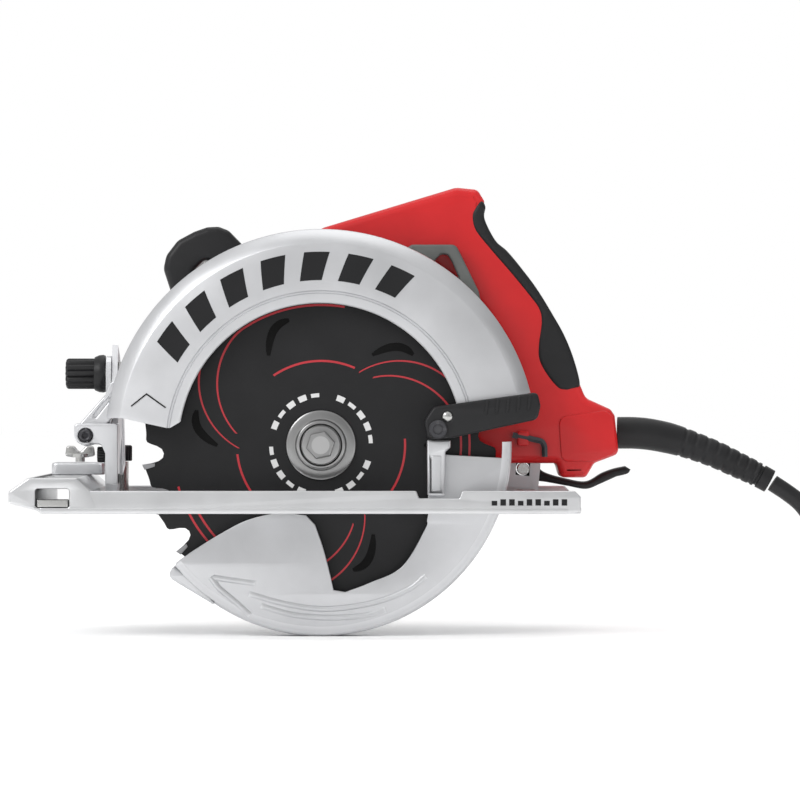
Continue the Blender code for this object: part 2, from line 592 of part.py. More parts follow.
def gears_and_motor():
    cz = ARBOR_Z
    mx, mz = MOTOR_X, MOTOR_Z
    towards = math.radians(MOTOR_ANGLE)
    # a tooth of the gear faces a gap of the pinion along the line of centres
    gear = slab(gear_outline(GEAR_TEETH, GEAR_BACKLASH / 2, 0, cz, towards), 22, 30,
                holes=[circle(0, cz, 10.0, 20)])
    add_piece("drive_gear", "dark_steel", gear, (0, 0, cz))
    pinion_phase = towards + math.pi + math.pi / PINION_TEETH
    pinion = slab(gear_outline(PINION_TEETH, GEAR_BACKLASH / 2, mx, mz, pinion_phase), 20.5, 31.5)
    shaft = turned([(0, 30), (4.0, 30), (4.0, 126), (0, 126)], (mx, mz), "Y", 12)
    add_piece("armature_shaft", "bright_steel", pinion, (mx, 0, mz), add=[shaft])
    pivot = (mx, 0, mz)
    add_piece("armature_core", "copper", ring((mx, mz), 4.3, 20, 58, 92, "Y", 20), pivot)
    add_piece("commutator", "copper", ring((mx, mz), 4.3, 11, 97, 108, "Y", 16), pivot)
    blades = 9
    fan_outline = []
    for i in range(blades):
        for angle, r in ((0, 12), (4, 31), (9, 31), (14, 12)):
            a = math.radians(i * 360 / blades + angle)
            fan_outline.append((mx + r * math.cos(a), mz + r * math.sin(a)))
    add_piece("cooling_fan", "black_plastic", slab(fan_outline, 45, 53, holes=[circle(mx, mz, 4.3, 12)]), pivot)
    for name, (x, z), bore, y0, y1, outer in (
            ("arbor_bearing", (0, cz), 10.0, 32.0, 38.0, 15.5),
            ("armature_front_bearing", (mx, mz), 4.3, 33.0, 39.5, 11.0),
            ("armature_rear_bearing", (mx, mz), 4.3, 114.0, 121.0, 11.0)):
        add_piece(name, "bright_steel", ring((x, z), bore, outer, y0, y1, "Y", 20))
    add_piece("field_stator", "dark_steel", ring((mx, mz), 22, 36, 60, 90, "Y", 24))
    # gear case: a box of rounded outline, open towards the motor
    case = case_outline()
    g0, g1 = GEARCASE_Y
    inside = offset(case, 3)
    cavity = slab(inside, g0 + 4, g1 + 5)
    shell = slab(case, g0, g1, bevel=2, bevel_ends="lo")
    add_piece("gear_housing", "cast_aluminium", shell, cut=[cavity, rod((0, cz), 15.3, g0 - 5, g0 + 8)])
    m0, m1 = MOTOR_Y
    housing = turned([(38, m0), (MOTOR_R, m0), (MOTOR_R, m1), (38, m1)], (mx, mz), "Y", 36, True)
    collar = slab(case, m0, m0 + 3)
    vents = [slab(stadium((mx + 50 * math.cos(a), mz + 50 * math.sin(a)),
                          (mx + 30 * math.cos(a), mz + 30 * math.sin(a)), 2.0, 4), 45, 53)
             for a in (math.radians(k) for k in range(20, 340, 32))]
    vents.append(rod((mx, mz), 38, m0 - 1, m0 + 6, "Y", 36))
    add_piece("motor_housing", "red_plastic", housing, add=[collar],
              cut=[merged(*vents[:-1]), vents[-1]])
    e0, e1 = END_CAP_Y
    cap = turned([(0, e1), (34, e1), (MOTOR_R, e1 - 8), (MOTOR_R, e0), (38, e0), (38, e1 - 9), (32, e1 - 3),
                  (0, e1 - 3)], (mx, mz), "Y", 36)
    slots = merged(*[slab(stadium((mx + u, mz - 22), (mx + u, mz + 22), 1.8, 4), e1 - 6, e1 + 5)
                     for u in (-18, -9, 0, 9, 18)])
    add_piece("motor_end_cap", "black_plastic", cap, cut=[slots])
    for side, name in ((1, "upper"), (-1, "lower")):
        # carbon brushes press on the commutator from two sides
        z_in, z_out = mz + side * 11.4, mz + side * 24
        z0, z1 = sorted((z_in, z_out))
        add_piece(f"carbon_brush_{name}", "carbon", box(mx - 4, mx + 4, 99, 106, z0, z1))
        z0, z1 = sorted((mz + side * 24.4, mz + side * 37.2))
        add_piece(f"brush_holder_{name}", "black_plastic", box(mx - 5.5, mx + 5.5, 97.5, 107.5, z0, z1))


# ---------------------------------------------------------------- handles and switch
def handle_outlines():
    """The rear handle from the side: its outline and its finger opening."""
    grip_back = [(84.4, 160), (97.5, 133.6), (108.6, 120.5), (118.9, 103.8), (127.3, 85.1), (132, 72),
                 (136, 58), (149.5, 52.6), (151.5, 49.4), (153.9, 29.4), (141.1, 24.6), (136.7, 17.3),
                 (123.6, 17.3), (121.3, 24.5), (74, 24.5), (68, 34), (64, 52), (53, 98), (30, 112),
                 (-6, 112), (-6, 140), (-1.3, 146.1), (69.5, 167.5), (78, 167)]
    opening = [(42, 124), (56, 127), (67, 119.5), (82, 105), (93, 89), (98, 76), (95, 66), (82, 64), (72, 74),
               (62, 99), (44, 114)]
    return (rounded(grip_back, [4, 8, 8, 8, 8, 6, 4, 3, 3, 4, 4, 3, 3, 2, 6, 4, 6, 6, 8, 4, 6, 8, 6, 6], 2),
            rounded(opening, 5, 2))


def handle():
    outline, opening = handle_outlines()
    y0, y1 = HANDLE_Y
    mid = HANDLE_SPLIT_Y
    case_clear = slab(offset(case_outline(), -0.6), 0, MOTOR_Y[0] + 3.6)
    cavity_outline = offset(outline, 3.2)
    bar = offset(opening, -3.2)
    sections = [("handle_shell_left", y0, mid - GAP / 2, "lo"), ("handle_shell_right", mid + GAP / 2, y1, "hi")]
    for name, a, b, end in sections:
        shell = slab(outline, a, b, bevel=5.0, segments=2, bevel_ends=end)
        c0, c1 = (a + 3.2, b + 1) if end == "lo" else (a - 1, b - 3.2)
        cavity = slab(cavity_outline, c0, c1, holes=[bar])
        cuts = [cavity, slab(opening, 20, 70)]
        cuts.append(slab(rect(62.5, 99.5, 86.5, 123.5), 39, 51))
        cuts.append(rod((CORD_Y, 40.2), 6.6, 140, 160, "X", 16))
        cuts.append(motor_hole() if end == "hi" else case_clear)
        add_piece(name, "red_plastic", shell, cut=cuts)


def motor_hole():
    """The clearance that the motor's housing needs in the right-hand shell."""
    return rod((MOTOR_X, MOTOR_Z), MOTOR_R + 0.6, 30, 90, "Y", 36)


def handle_details():
    # soft strip along the back of the grip
    back = [(84.6, 161), (97.9, 134), (109.0, 120.9), (119.4, 104.1), (127.8, 85.3), (132.5, 72.2), (135.4, 62)]
    proud = [(p[0] + 2.4 * 0.8, p[1] + 2.4 * 0.55) for p in back]
    strip = rounded(back + proud[::-1], 0)
    add_piece("grip_overmold", "black_rubber",
              slab([(x + 0.5, z + 0.4) for x, z in strip], HANDLE_Y[0] + 3, HANDLE_Y[1] - 3))
    # switch in the grip, with its trigger in the finger opening
    add_piece("switch_body", "black_plastic", slab(turn(rect(87, 106, 98, 118), 92.5, 112, 36), 37, 53))
    trigger = slab(rounded([(64.5, 116.5), (72.5, 121.5), (77, 120.5), (78, 103), (73, 101.5), (66.5, 107.5)], 2, 2), 40, 50)
    add_piece("trigger", "black_plastic", trigger, (68.5, 45, 112.5))
    bracket = slab(rounded([(46, 137.5), (70.4, 137.5), (82, 113.5), (87, 81), (84, 78), (70, 84), (60, 104),
                            (40, 120), (40, 134)], 3, 2), UPPER_BACK_Y + GAP, 23,
                   holes=[rounded([(58, 128), (66, 129), (70.6, 119), (67, 112), (59, 120)], 2, 2)])
    case_clear = slab(offset(case_outline(), -0.6), 0, MOTOR_Y[0] + 3.6)
    add_piece("handle_bracket", "cast_aluminium", bracket, cut=[case_clear])
    key = [(98.7, 39.2), (106, 37.6), (113.6, 36.0), (115.2, 33), (115.2, 27.9)]
    add_piece("hex_key", "dark_steel", swept([(x, 23.6, z) for x, z in key], lambda t: 1.6, 6))
    # front handle: a bowed bar carried by the upper guard's back
    bow = [(-63, 88), (-77.4, 112), (-81.4, 124.8), (-80.1, 131.4), (-74.2, 139.3), (-65.6, 143.9), (-59, 146.2),
           (-53.1, 146.5), (-47.9, 144.5), (-41.6, 137.9), (-30, 112), (-44, 106), (-52, 126), (-60, 130),
           (-66, 124), (-62, 110), (-52, 92)]
    add_piece("aux_handle", "black_plastic",
              slab(rounded(bow, 3, 1), UPPER_BACK_Y + GAP, 40, bevel=2.5, segments=1))
    lock = rod((-38, 66), 5.5, UPPER_BACK_Y - 1.0, 24, "Y", 16, 1)
    add_piece("spindle_lock_button", "black_plastic", lock, (-38, 18, 66))


# ---------------------------------------------------------------- cord
CORD_ROUTE = [
    (234.9, 45.0, 14.0), (243.0, 45.0, 8.6), (249.8, 45.0, 3.0), (255.6, 45.0, -5.0), (260.2, 45.0, -15.0),
    (264.2, 44.6, -26.0), (267.4, 42.6, -37.0), (270.4, 38.0, -46.6), (273.6, 29.8, -54.2),
    (277.6, 18.4, -57.8), (283.2, 6.4, -58.6), (291.0, -4.4, -58.6), (299.4, -11.0, -58.6),
    (306.0, -14.0, -58.6),
]


def smooth_route(points, steps):
    """Catmull-Rom curve through the route's points."""
    out = []
    padded = [points[0]] + list(points) + [points[-1]]
    for i in range(1, len(padded) - 2):
        p0, p1, p2, p3 = (Vector(p) for p in padded[i - 1:i + 3])
        for s in range(steps):
            t = s / steps
            out.append(0.5 * ((2 * p1) + (p2 - p0) * t + (2 * p0 - 5 * p1 + 4 * p2 - p3) * t ** 2
                              + (3 * p1 - p0 - 3 * p2 + p3) * t ** 3))
    out.append(Vector(points[-1]))
    return out


def cord_parts():
    boot = [(153.9, CORD_Y, 40.2), (163, CORD_Y, 40.1), (171.9, CORD_Y, 39.2), (183, CORD_Y, 36.8),
            (193.9, CORD_Y, 33.2), (205, CORD_Y, 28.9), (215.8, CORD_Y, 23.8), (225, CORD_Y, 19.4),
            (233.4, CORD_Y, 14.9)]
    sizes = [8.3, 8.3, 8.2, 7.7, 7.2, 7.0, 6.7, 6.2, 6.2]
    add_piece("strain_relief_boot", "black_rubber",
              swept([(154.6, p[1], p[2]) if i == 0 else p for i, p in enumerate(boot)],
                    lambda t: sizes[round(t * (len(sizes) - 1))], 14))
    curve = bpy.data.curves.new("cord", "CURVE")
    curve.dimensions = "3D"
    points = smooth_route(CORD_ROUTE, 2)
    spline = curve.splines.new("POLY")
    spline.points.add(len(points) - 1)
    for target, point in zip(spline.points, points):
        target.co = (*(world(*point)), 1)
    curve.bevel_depth = CORD_D / 2 * MM
    curve.bevel_resolution = 2
    curve.use_fill_caps = True
    curve.materials.append(material("cord_rubber"))
    cord = bpy.data.objects.new("cord", curve)
    bpy.context.scene.collection.objects.link(cord)
    x, y = COIL_CENTRE
    add_piece("cord_coil", "cord_rubber",
              ring((x, y), COIL_R[0], COIL_R[1], FLOOR_Z, FLOOR_Z + COIL_TOP, "Z", 32))
    top = FLOOR_Z + COIL_TOP + GAP
    body = slab(rounded([(y - 22, top), (y + 16, top), (y + 16, top + 24), (y - 10, top + 24), (y - 22, top + 17)],
                        3, 2), x + 38, x + 62, "X", bevel=3)
    blades = [box(x + 50 + s - 0.8, x + 50 + s + 0.8, y + 14, y + 33, top + 9, top + 15.4) for s in (-6.35, 6.35)]
    add_piece("plug", "black_rubber", body, add=blades)


def main():
    for obj in list(bpy.data.objects):
        bpy.data.objects.remove(obj)
    for build in (foot, fence_clamp, bevel_parts, depth_parts, upper_guard, lower_guard, blade_parts,
                  gears_and_motor, handle, handle_details, cord_parts):
        build()


main()
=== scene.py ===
"""Looks of a left-blade circular saw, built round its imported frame.

Every shape is worked out in the saw's own datum, in millimetres: X to the rear and Z up from the
sole of the foot, Y from the blade's middle plane to the motor, with the arbor over X = 0.
Datum turns that into the frame's metres.
"""
import logging
import math
from dataclasses import dataclass
from enum import Enum
from typing import Iterable, Sequence

import bmesh
import bpy
import numpy as np
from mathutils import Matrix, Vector
from mathutils.geometry import tessellate_polygon


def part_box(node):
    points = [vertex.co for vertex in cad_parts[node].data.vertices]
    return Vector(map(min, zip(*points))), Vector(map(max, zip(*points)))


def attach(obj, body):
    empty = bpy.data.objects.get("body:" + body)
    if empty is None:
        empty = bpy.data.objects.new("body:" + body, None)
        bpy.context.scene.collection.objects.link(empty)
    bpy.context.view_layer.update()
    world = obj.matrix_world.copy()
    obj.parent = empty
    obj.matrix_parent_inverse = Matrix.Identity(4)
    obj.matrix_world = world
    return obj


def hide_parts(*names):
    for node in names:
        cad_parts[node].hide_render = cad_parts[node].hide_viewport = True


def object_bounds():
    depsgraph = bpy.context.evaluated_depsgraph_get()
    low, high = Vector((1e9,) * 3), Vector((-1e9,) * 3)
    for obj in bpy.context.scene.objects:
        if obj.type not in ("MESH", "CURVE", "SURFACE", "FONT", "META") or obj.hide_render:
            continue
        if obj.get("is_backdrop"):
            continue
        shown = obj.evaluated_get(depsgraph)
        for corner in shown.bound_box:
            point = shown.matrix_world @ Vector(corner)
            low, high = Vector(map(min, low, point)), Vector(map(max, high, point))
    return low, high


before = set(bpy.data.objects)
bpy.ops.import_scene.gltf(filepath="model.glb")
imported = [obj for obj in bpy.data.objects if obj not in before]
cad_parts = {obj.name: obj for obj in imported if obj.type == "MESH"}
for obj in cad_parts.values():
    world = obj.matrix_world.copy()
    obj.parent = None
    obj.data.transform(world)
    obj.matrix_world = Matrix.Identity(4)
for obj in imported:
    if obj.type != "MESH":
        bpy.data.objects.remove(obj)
log = logging.getLogger("circular_saw")

MM = 0.001
WELD_M = 1e-7           # points this close are one
SMOOTH = 40.0           # edges under this angle, in degrees, are shaded smooth
Array = np.ndarray
Points2 = Sequence[Sequence[float]]


class Axis(Enum):
    """The direction an outline is drawn out along, or a profile is turned about."""

    X = "x"
    Y = "y"
    Z = "z"


class Body(Enum):
    """The moving bodies that pieces ride on."""

    FOOT = "foot"
    TILT = "tilt_bracket"
    DEPTH = "depth_bracket"
    HEAD = "saw_head"
    LOWER = "lower_guard"
    BLADE = "blade"
    LEVER = "depth_lever"
    KNOB = "bevel_knob"
    TRIGGER = "trigger"
    SCREW = "fence_screw"
    NUT = "fence_nut"
    LOCK = "spindle_lock"


class Datum:
    """The saw's own datum: the arbor's X and Y from the blade, and Z = 0 from the sole."""

    low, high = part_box("saw_blade")
    sole_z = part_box("foot_plate")[0][2]
    origin = np.array([(low[0] + high[0]) / 2, (low[1] + high[1]) / 2, sole_z])
    arbor_z = ((low[2] + high[2]) / 2 - sole_z) / MM
    floor_z = (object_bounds()[0][2] - sole_z) / MM

    @classmethod
    def world(cls, points: Array) -> Array:
        """Millimetres in the datum to metres in the frame."""
        return np.asarray(points, dtype=float) * MM + cls.origin

    @classmethod
    def middle(cls, node: str) -> tuple[float, float]:
        """X and Z of the middle of a CAD node's box, in millimetres."""
        low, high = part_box(node)
        middle = (np.array(low) + np.array(high)) / 2 - cls.origin
        return float(middle[0] / MM), float(middle[2] / MM)


# ---------------------------------------------------------------- outlines and profiles
def arc(cx: float, cz: float, radius: float, start: float, end: float, steps: int) -> Array:
    """Points at even angles on an arc, both ends included, angles in degrees."""
    angle = np.radians(np.linspace(start, end, steps + 1))
    return np.column_stack([cx + radius * np.cos(angle), cz + radius * np.sin(angle)])


def circle(cx: float, cz: float, radius: float, steps: int = 64) -> Array:
    """A closed circle, its last point left out."""
    return arc(cx, cz, radius, 0, 360, steps)[:-1]


def rect(x0: float, z0: float, x1: float, z1: float) -> Array:
    """A rectangle's four corners, counter-clockwise."""
    return np.array([[x0, z0], [x1, z0], [x1, z1], [x0, z1]], dtype=float)


def rounded(points: Points2, radius: float | Sequence[float], steps: int = 6) -> Array:
    """A polygon, each corner a quadratic curve that starts and ends radius / tan(half angle) away.

    Args:
        points: the polygon's corners.
        radius: one radius, or one for each corner.
        steps: segments on each corner.

    Returns:
        The rounded outline.
    """
    corner = np.asarray(points, dtype=float)
    size = np.broadcast_to(np.asarray(radius, dtype=float), (len(corner),))[:, None]
    back, ahead = np.roll(corner, 1, axis=0) - corner, np.roll(corner, -1, axis=0) - corner
    lb = np.linalg.norm(back, axis=1, keepdims=True)
    la = np.linalg.norm(ahead, axis=1, keepdims=True)
    cosine = np.clip(np.sum(back * ahead, axis=1, keepdims=True) / (lb * la), -0.999999, 0.999999)
    half = np.arccos(cosine) / 2
    reach = np.minimum(size / np.tan(half), 0.48 * np.minimum(lb, la))
    start, end = corner + back / lb * reach, corner + ahead / la * reach
    t = np.linspace(0, 1, steps + 1)[None, :, None]
    curve = start[:, None] * (1 - t) ** 2 + corner[:, None] * 2 * t * (1 - t) + end[:, None] * t ** 2
    flat = curve.reshape(-1, 2)
    keep = np.linalg.norm(flat - np.roll(flat, 1, axis=0), axis=1) > 1e-3
    return flat[keep]


def spline(points: Sequence[Sequence[float]], steps: int = 8, closed: bool = False) -> Array:
    """Catmull-Rom curve through the points: each span is a cubic that leaves along its neighbours' chord."""
    p = np.asarray(points, dtype=float)
    if closed:
        p = np.vstack([p[-1:], p, p[:2]])
    else:
        p = np.vstack([2 * p[:1] - p[1:2], p, 2 * p[-1:] - p[-2:-1]])
    t = np.linspace(0, 1, steps, endpoint=False)[None, :, None]
    a, b, c, d = (p[i:len(p) - 3 + i][:, None] for i in range(4))
    curve = 0.5 * (2 * b + (c - a) * t + (2 * a - 5 * b + 4 * c - d) * t ** 2
                   + (3 * b - a - 3 * c + d) * t ** 3)
    flat = curve.reshape(-1, p.shape[1])
    return flat if closed else np.vstack([flat, p[-2:-1]])


def signed_area(loop: Array) -> float:
    """Twice the loop's area, positive when it runs counter-clockwise."""
    nxt = np.roll(loop, -1, axis=0)
    return float(np.sum(loop[:, 0] * nxt[:, 1] - nxt[:, 0] * loop[:, 1]))


def inset(loop: Array, distance: float) -> Array:
    """A counter-clockwise loop moved inwards by distance, along each corner's mitred normal."""
    d0 = loop - np.roll(loop, 1, axis=0)
    d1 = np.roll(loop, -1, axis=0) - loop
    d0 /= np.linalg.norm(d0, axis=1, keepdims=True)
    d1 /= np.linalg.norm(d1, axis=1, keepdims=True)
    n0, n1 = np.column_stack([-d0[:, 1], d0[:, 0]]), np.column_stack([-d1[:, 1], d1[:, 0]])
    normal = n0 + n1
    normal /= np.maximum(np.linalg.norm(normal, axis=1, keepdims=True), 1e-9)
    return loop + normal * (distance / np.maximum(0.5, np.sum(normal * n0, axis=1, keepdims=True)))


def stadium(a: Sequence[float], b: Sequence[float], radius: float, steps: int = 10) -> Array:
    """A slot's outline: half circles of one radius about a and b."""
    turn = math.degrees(math.atan2(b[1] - a[1], b[0] - a[0]))
    return np.vstack([arc(a[0], a[1], radius, turn + 90, turn + 270, steps),
                      arc(b[0], b[1], radius, turn - 90, turn + 90, steps)])


def lobed(cx: float, cz: float, radius: float, depth: float, lobes: int, steps: int = 10) -> Array:
    """A round outline with flutes: r = radius - depth * (1 - |cos(lobes * angle / 2)|)."""
    angle = np.linspace(0, 2 * np.pi, lobes * steps, endpoint=False)
    r = radius - depth * (1 - np.abs(np.cos(lobes * angle / 2)))
    return np.column_stack([cx + r * np.cos(angle), cz + r * np.sin(angle)])


def about_arbor(radius: Array | float, degrees: Array | float, y: Array | float = 0.0) -> Array:
    """Points round the arbor: X = r cos(a), Y as given, Z = arbor height + r sin(a)."""
    r, a, depth = np.broadcast_arrays(radius, np.radians(degrees), y)
    return np.stack([r * np.cos(a), depth, Datum.arbor_z + r * np.sin(a)], axis=-1)


def side_normals(path: Array) -> Array:
    """Unit normals on the left of a flat path, square to its central differences."""
    tangent = np.gradient(path, axis=0)
    tangent /= np.linalg.norm(tangent, axis=1, keepdims=True)
    return np.column_stack([-tangent[:, 1], tangent[:, 0]])


def at_depth(points: Points2, y: float) -> Array:
    """A flat path's X and Z with one Y between them."""
    return np.insert(np.asarray(points, dtype=float), 1, y, axis=1)


# ---------------------------------------------------------------- meshes
ORDER = {Axis.X: (2, 0, 1), Axis.Y: (0, 2, 1), Axis.Z: (0, 1, 2)}


def set_in_space(uv: Array, w: Array, axis: Axis) -> Array:
    """An outline's two numbers and its depth as X, Y, Z: depth goes to the axis."""
    stacked = np.column_stack([uv, w])
    return stacked[:, ORDER[axis]]


class Shape:
    """A growing mesh: points in millimetres, faces, and how smooth it is shaded."""

    def __init__(self) -> None:
        """Starts with no points."""
        self.points: list[Array] = []
        self.faces: list[tuple[int, ...]] = []
        self.count = 0

    def add(self, points: Array, faces: Iterable[Sequence[int]]) -> "Shape":
        """Adds points and the faces between them, numbered from the first new point."""
        base = self.count
        self.points.append(np.asarray(points, dtype=float))
        self.count += len(points)
        self.faces.extend(tuple(int(i) + base for i in f) for f in faces)
        return self

    def grid(self, grid: Array, wrap_u: bool = False, wrap_v: bool = True, capped: bool = False) -> "Shape":
        """A surface from an array of points [u][v].

        Args:
            grid: the points.
            wrap_u: whether the last row joins the first.
            wrap_v: whether each row is a ring.
            capped: whether the first and last rings are closed by a face each.

        Returns:
            This shape.
        """
        nu, nv = grid.shape[:2]
        iu, iv = np.arange(nu if wrap_u else nu - 1), np.arange(nv if wrap_v else nv - 1)
        u, v = (a.ravel() for a in np.meshgrid(iu, iv, indexing="ij"))
        u1, v1 = (u + 1) % nu, (v + 1) % nv
        quads = np.column_stack([u * nv + v, u1 * nv + v, u1 * nv + v1, u * nv + v1])
        self.add(grid.reshape(-1, 3), quads.tolist())
        if capped:
            self.faces += [tuple(range(ring, ring + nv)) for ring in (self.count - nu * nv, self.count - nv)]
        return self

    def slab(self, low: Array, high: Array) -> None:
        """Closes two matching grids of points into a thin solid."""
        nu, nv = low.shape[:2]
        base = self.count
        self.grid(low, wrap_v=False)
        self.grid(high, wrap_v=False)
        index = np.arange(nu * nv).reshape(nu, nv)
        edge = np.concatenate([index[:, 0], index[-1, 1:], index[-2::-1, -1], index[0, -2:0:-1]]) + base
        after = np.roll(edge, -1)
        self.faces.extend(map(tuple, np.column_stack([edge, after, after + nu * nv,
                                                      edge + nu * nv]).tolist()))

    def build(self, name: str, finish: "Finish", smooth: float = SMOOTH) -> bpy.types.Object:
        """Makes the object at the origin, with its place in its mesh.

        Args:
            name: the piece's name.
            finish: the finish that it takes.
            smooth: edges under this angle, in degrees, are shaded smooth.

        Returns:
            The new object.
        """
        mesh = bpy.data.meshes.new(name)
        mesh.from_pydata(Datum.world(np.vstack(self.points)).tolist(), [], self.faces)
        mesh.validate()
        bm = bmesh.new()
        bm.from_mesh(mesh)
        bmesh.ops.remove_doubles(bm, verts=bm.verts, dist=WELD_M)
        bmesh.ops.recalc_face_normals(bm, faces=bm.faces)
        bm.to_mesh(mesh)
        bm.free()
        mesh.shade_smooth()
        mesh.set_sharp_from_angle(angle=math.radians(smooth))
        obj = bpy.data.objects.new(name, mesh)
        obj.data.materials.append(finish.material())
        bpy.context.scene.collection.objects.link(obj)
        return obj


def plate(outline: Array, lo: float, hi: float, axis: Axis = Axis.Y, holes: Sequence[Array] = (),
          ends: tuple[float, float] = (0.5, 0.5), steps: int = 3, shape: Shape | None = None) -> Shape:
    """An outline drawn out from lo to hi, its end edges rolled over by quarter circles.

    Each ring is the outline moved in by r - r cos(a) at r - r sin(a) from the end, a from 0 to 90 degrees.

    Args:
        outline: the outer loop.
        lo: where it starts along the axis.
        hi: where it ends.
        axis: the direction it is drawn out along.
        holes: loops cut right through.
        ends: edge radius at lo and at hi.
        steps: segments on each rolled edge.
        shape: a shape to add it to.

    Returns:
        The shape with the plate added.
    """
    shape = shape or Shape()
    loops = [outline if signed_area(outline) > 0 else outline[::-1]]
    loops += [h[::-1] if signed_area(h) > 0 else h for h in holes]
    turn = np.radians(np.linspace(90, 0, steps + 1))
    ins, ups = [], []
    for radius, end, way in ((ends[0], lo, 1), (ends[1], hi, -1)):
        if radius > 0:
            part_in, part_up = radius * (1 - np.cos(turn)), end + way * radius * (1 - np.sin(turn))
        else:
            part_in, part_up = np.zeros(1), np.full(1, float(end))
        order = slice(None) if way == 1 else slice(None, None, -1)
        ins.append(part_in[order])
        ups.append(part_up[order])
    insets, depths = np.concatenate(ins), np.concatenate(ups)
    starts = []
    for loop in loops:
        rings = [set_in_space(inset(loop, d), np.full(len(loop), w), axis) for d, w in zip(insets, depths)]
        starts.append(shape.count)
        shape.grid(np.stack(rings))
    flat = [[Vector((*p, 0)) for p in inset(loop, insets[0])] for loop in loops]
    flat_hi = [[Vector((*p, 0)) for p in inset(loop, insets[-1])] for loop in loops]
    for ring, loop_points in ((0, flat), (len(insets) - 1, flat_hi)):
        index = np.concatenate([s + ring * len(loop) + np.arange(len(loop)) for s,
                                loop in zip(starts, loops)])
        shape.faces.extend(tuple(int(index[i]) for i in tri) for tri in tessellate_polygon(loop_points))
    return shape


def turned(profile: Points2, centre: Sequence[float], axis: Axis = Axis.Y, steps: int = 64,
           closed: bool = False, arc_deg: Sequence[float] = (0, 360), shape: Shape | None = None) -> Shape:
    """A profile of (radius, distance along the axis) carried round the axis.

    Args:
        profile: the profile; a closed one makes a ring, an open one ends on the axis.
        centre: where the axis stands, in the plane across it.
        axis: the axis.
        steps: segments in the turn.
        closed: whether the profile is a loop.
        arc_deg: first and last angle; less than a full turn leaves a sector with capped ends.
        shape: a shape to add it to.

    Returns:
        The shape with the turned form added.
    """
    shape = shape or Shape()
    p = np.asarray(profile, dtype=float)
    full = abs(arc_deg[1] - arc_deg[0]) >= 360
    angle = np.radians(np.linspace(arc_deg[0], arc_deg[1], steps, endpoint=not full))
    u = centre[0] + np.outer(np.cos(angle), p[:, 0])
    v = centre[1] + np.outer(np.sin(angle), p[:, 0])
    w = np.broadcast_to(p[:, 1], u.shape)
    points = set_in_space(np.column_stack([u.ravel(), v.ravel()]), w.ravel(), axis)
    return shape.grid(points.reshape(len(angle), len(p), 3), full, closed, capped=not full)


def tube(path: Array, radius: Array | float, sides: int = 24, shape: Shape | None = None) -> Shape:
    """A round bar along a path: circles across it, carried without twist, with flat ends.

    Args:
        path: points along the middle.
        radius: one radius, or one for each point.
        sides: points on each circle.
        shape: a shape to add it to.

    Returns:
        The shape with the bar added.
    """
    shape = shape or Shape()
    p = np.asarray(path, dtype=float)
    r = np.broadcast_to(np.asarray(radius, dtype=float), (len(p),))
    tangent = np.gradient(p, axis=0)
    tangent /= np.linalg.norm(tangent, axis=1, keepdims=True)
    side = np.zeros_like(p)
    ref = np.array([0.0, 1.0, 0.0]) if abs(tangent[0][1]) < 0.9 else np.array([1.0, 0.0, 0.0])
    for i, t in enumerate(tangent):         # each circle's start direction is carried on from the last
        ref = ref - t * ref.dot(t)
        ref /= np.linalg.norm(ref)
        side[i] = ref
    up = np.cross(tangent, side)
    angle = np.linspace(0, 2 * np.pi, sides, endpoint=False)
    cosine, sine = np.cos(angle)[:, None], np.sin(angle)[:, None]
    grid = p[:, None] + (side[:, None] * cosine + up[:, None] * sine) * r[:, None, None]
    return shape.grid(grid, capped=True)


# ---------------------------------------------------------------- finishes
def add_node(tree: bpy.types.NodeTree, kind: str, inputs: dict[str, object] | None = None,
             **settings: object) -> bpy.types.Node:
    """Adds a node to a material or a world.

    Args:
        tree: the node tree.
        kind: the node's type.
        inputs: for each input's name, a socket to link it to, or the value to set on it.
        settings: the node's own settings, set before its inputs.

    Returns:
        The new node.
    """
    node = tree.nodes.new(kind)
    for name, value in settings.items():
        setattr(node, name, value)
    for name, value in (inputs or {}).items():
        if isinstance(value, bpy.types.NodeSocket):
            tree.links.new(value, node.inputs[name])
        else:
            node.inputs[name].default_value = value
    return node


def add_ramp(tree: bpy.types.NodeTree, value: bpy.types.NodeSocket, low: tuple[float, Sequence[float]],
             high: tuple[float, Sequence[float]]) -> bpy.types.NodeSocket:
    """A colour that runs from one (position, colour) stop to another as a value does."""
    ramp = add_node(tree, "ShaderNodeValToRGB", {"Fac": value})
    for stop, (position, colour) in zip(ramp.color_ramp.elements, (low, high)):
        stop.position, stop.color = position, (*colour, 1)
    return ramp.outputs["Color"]


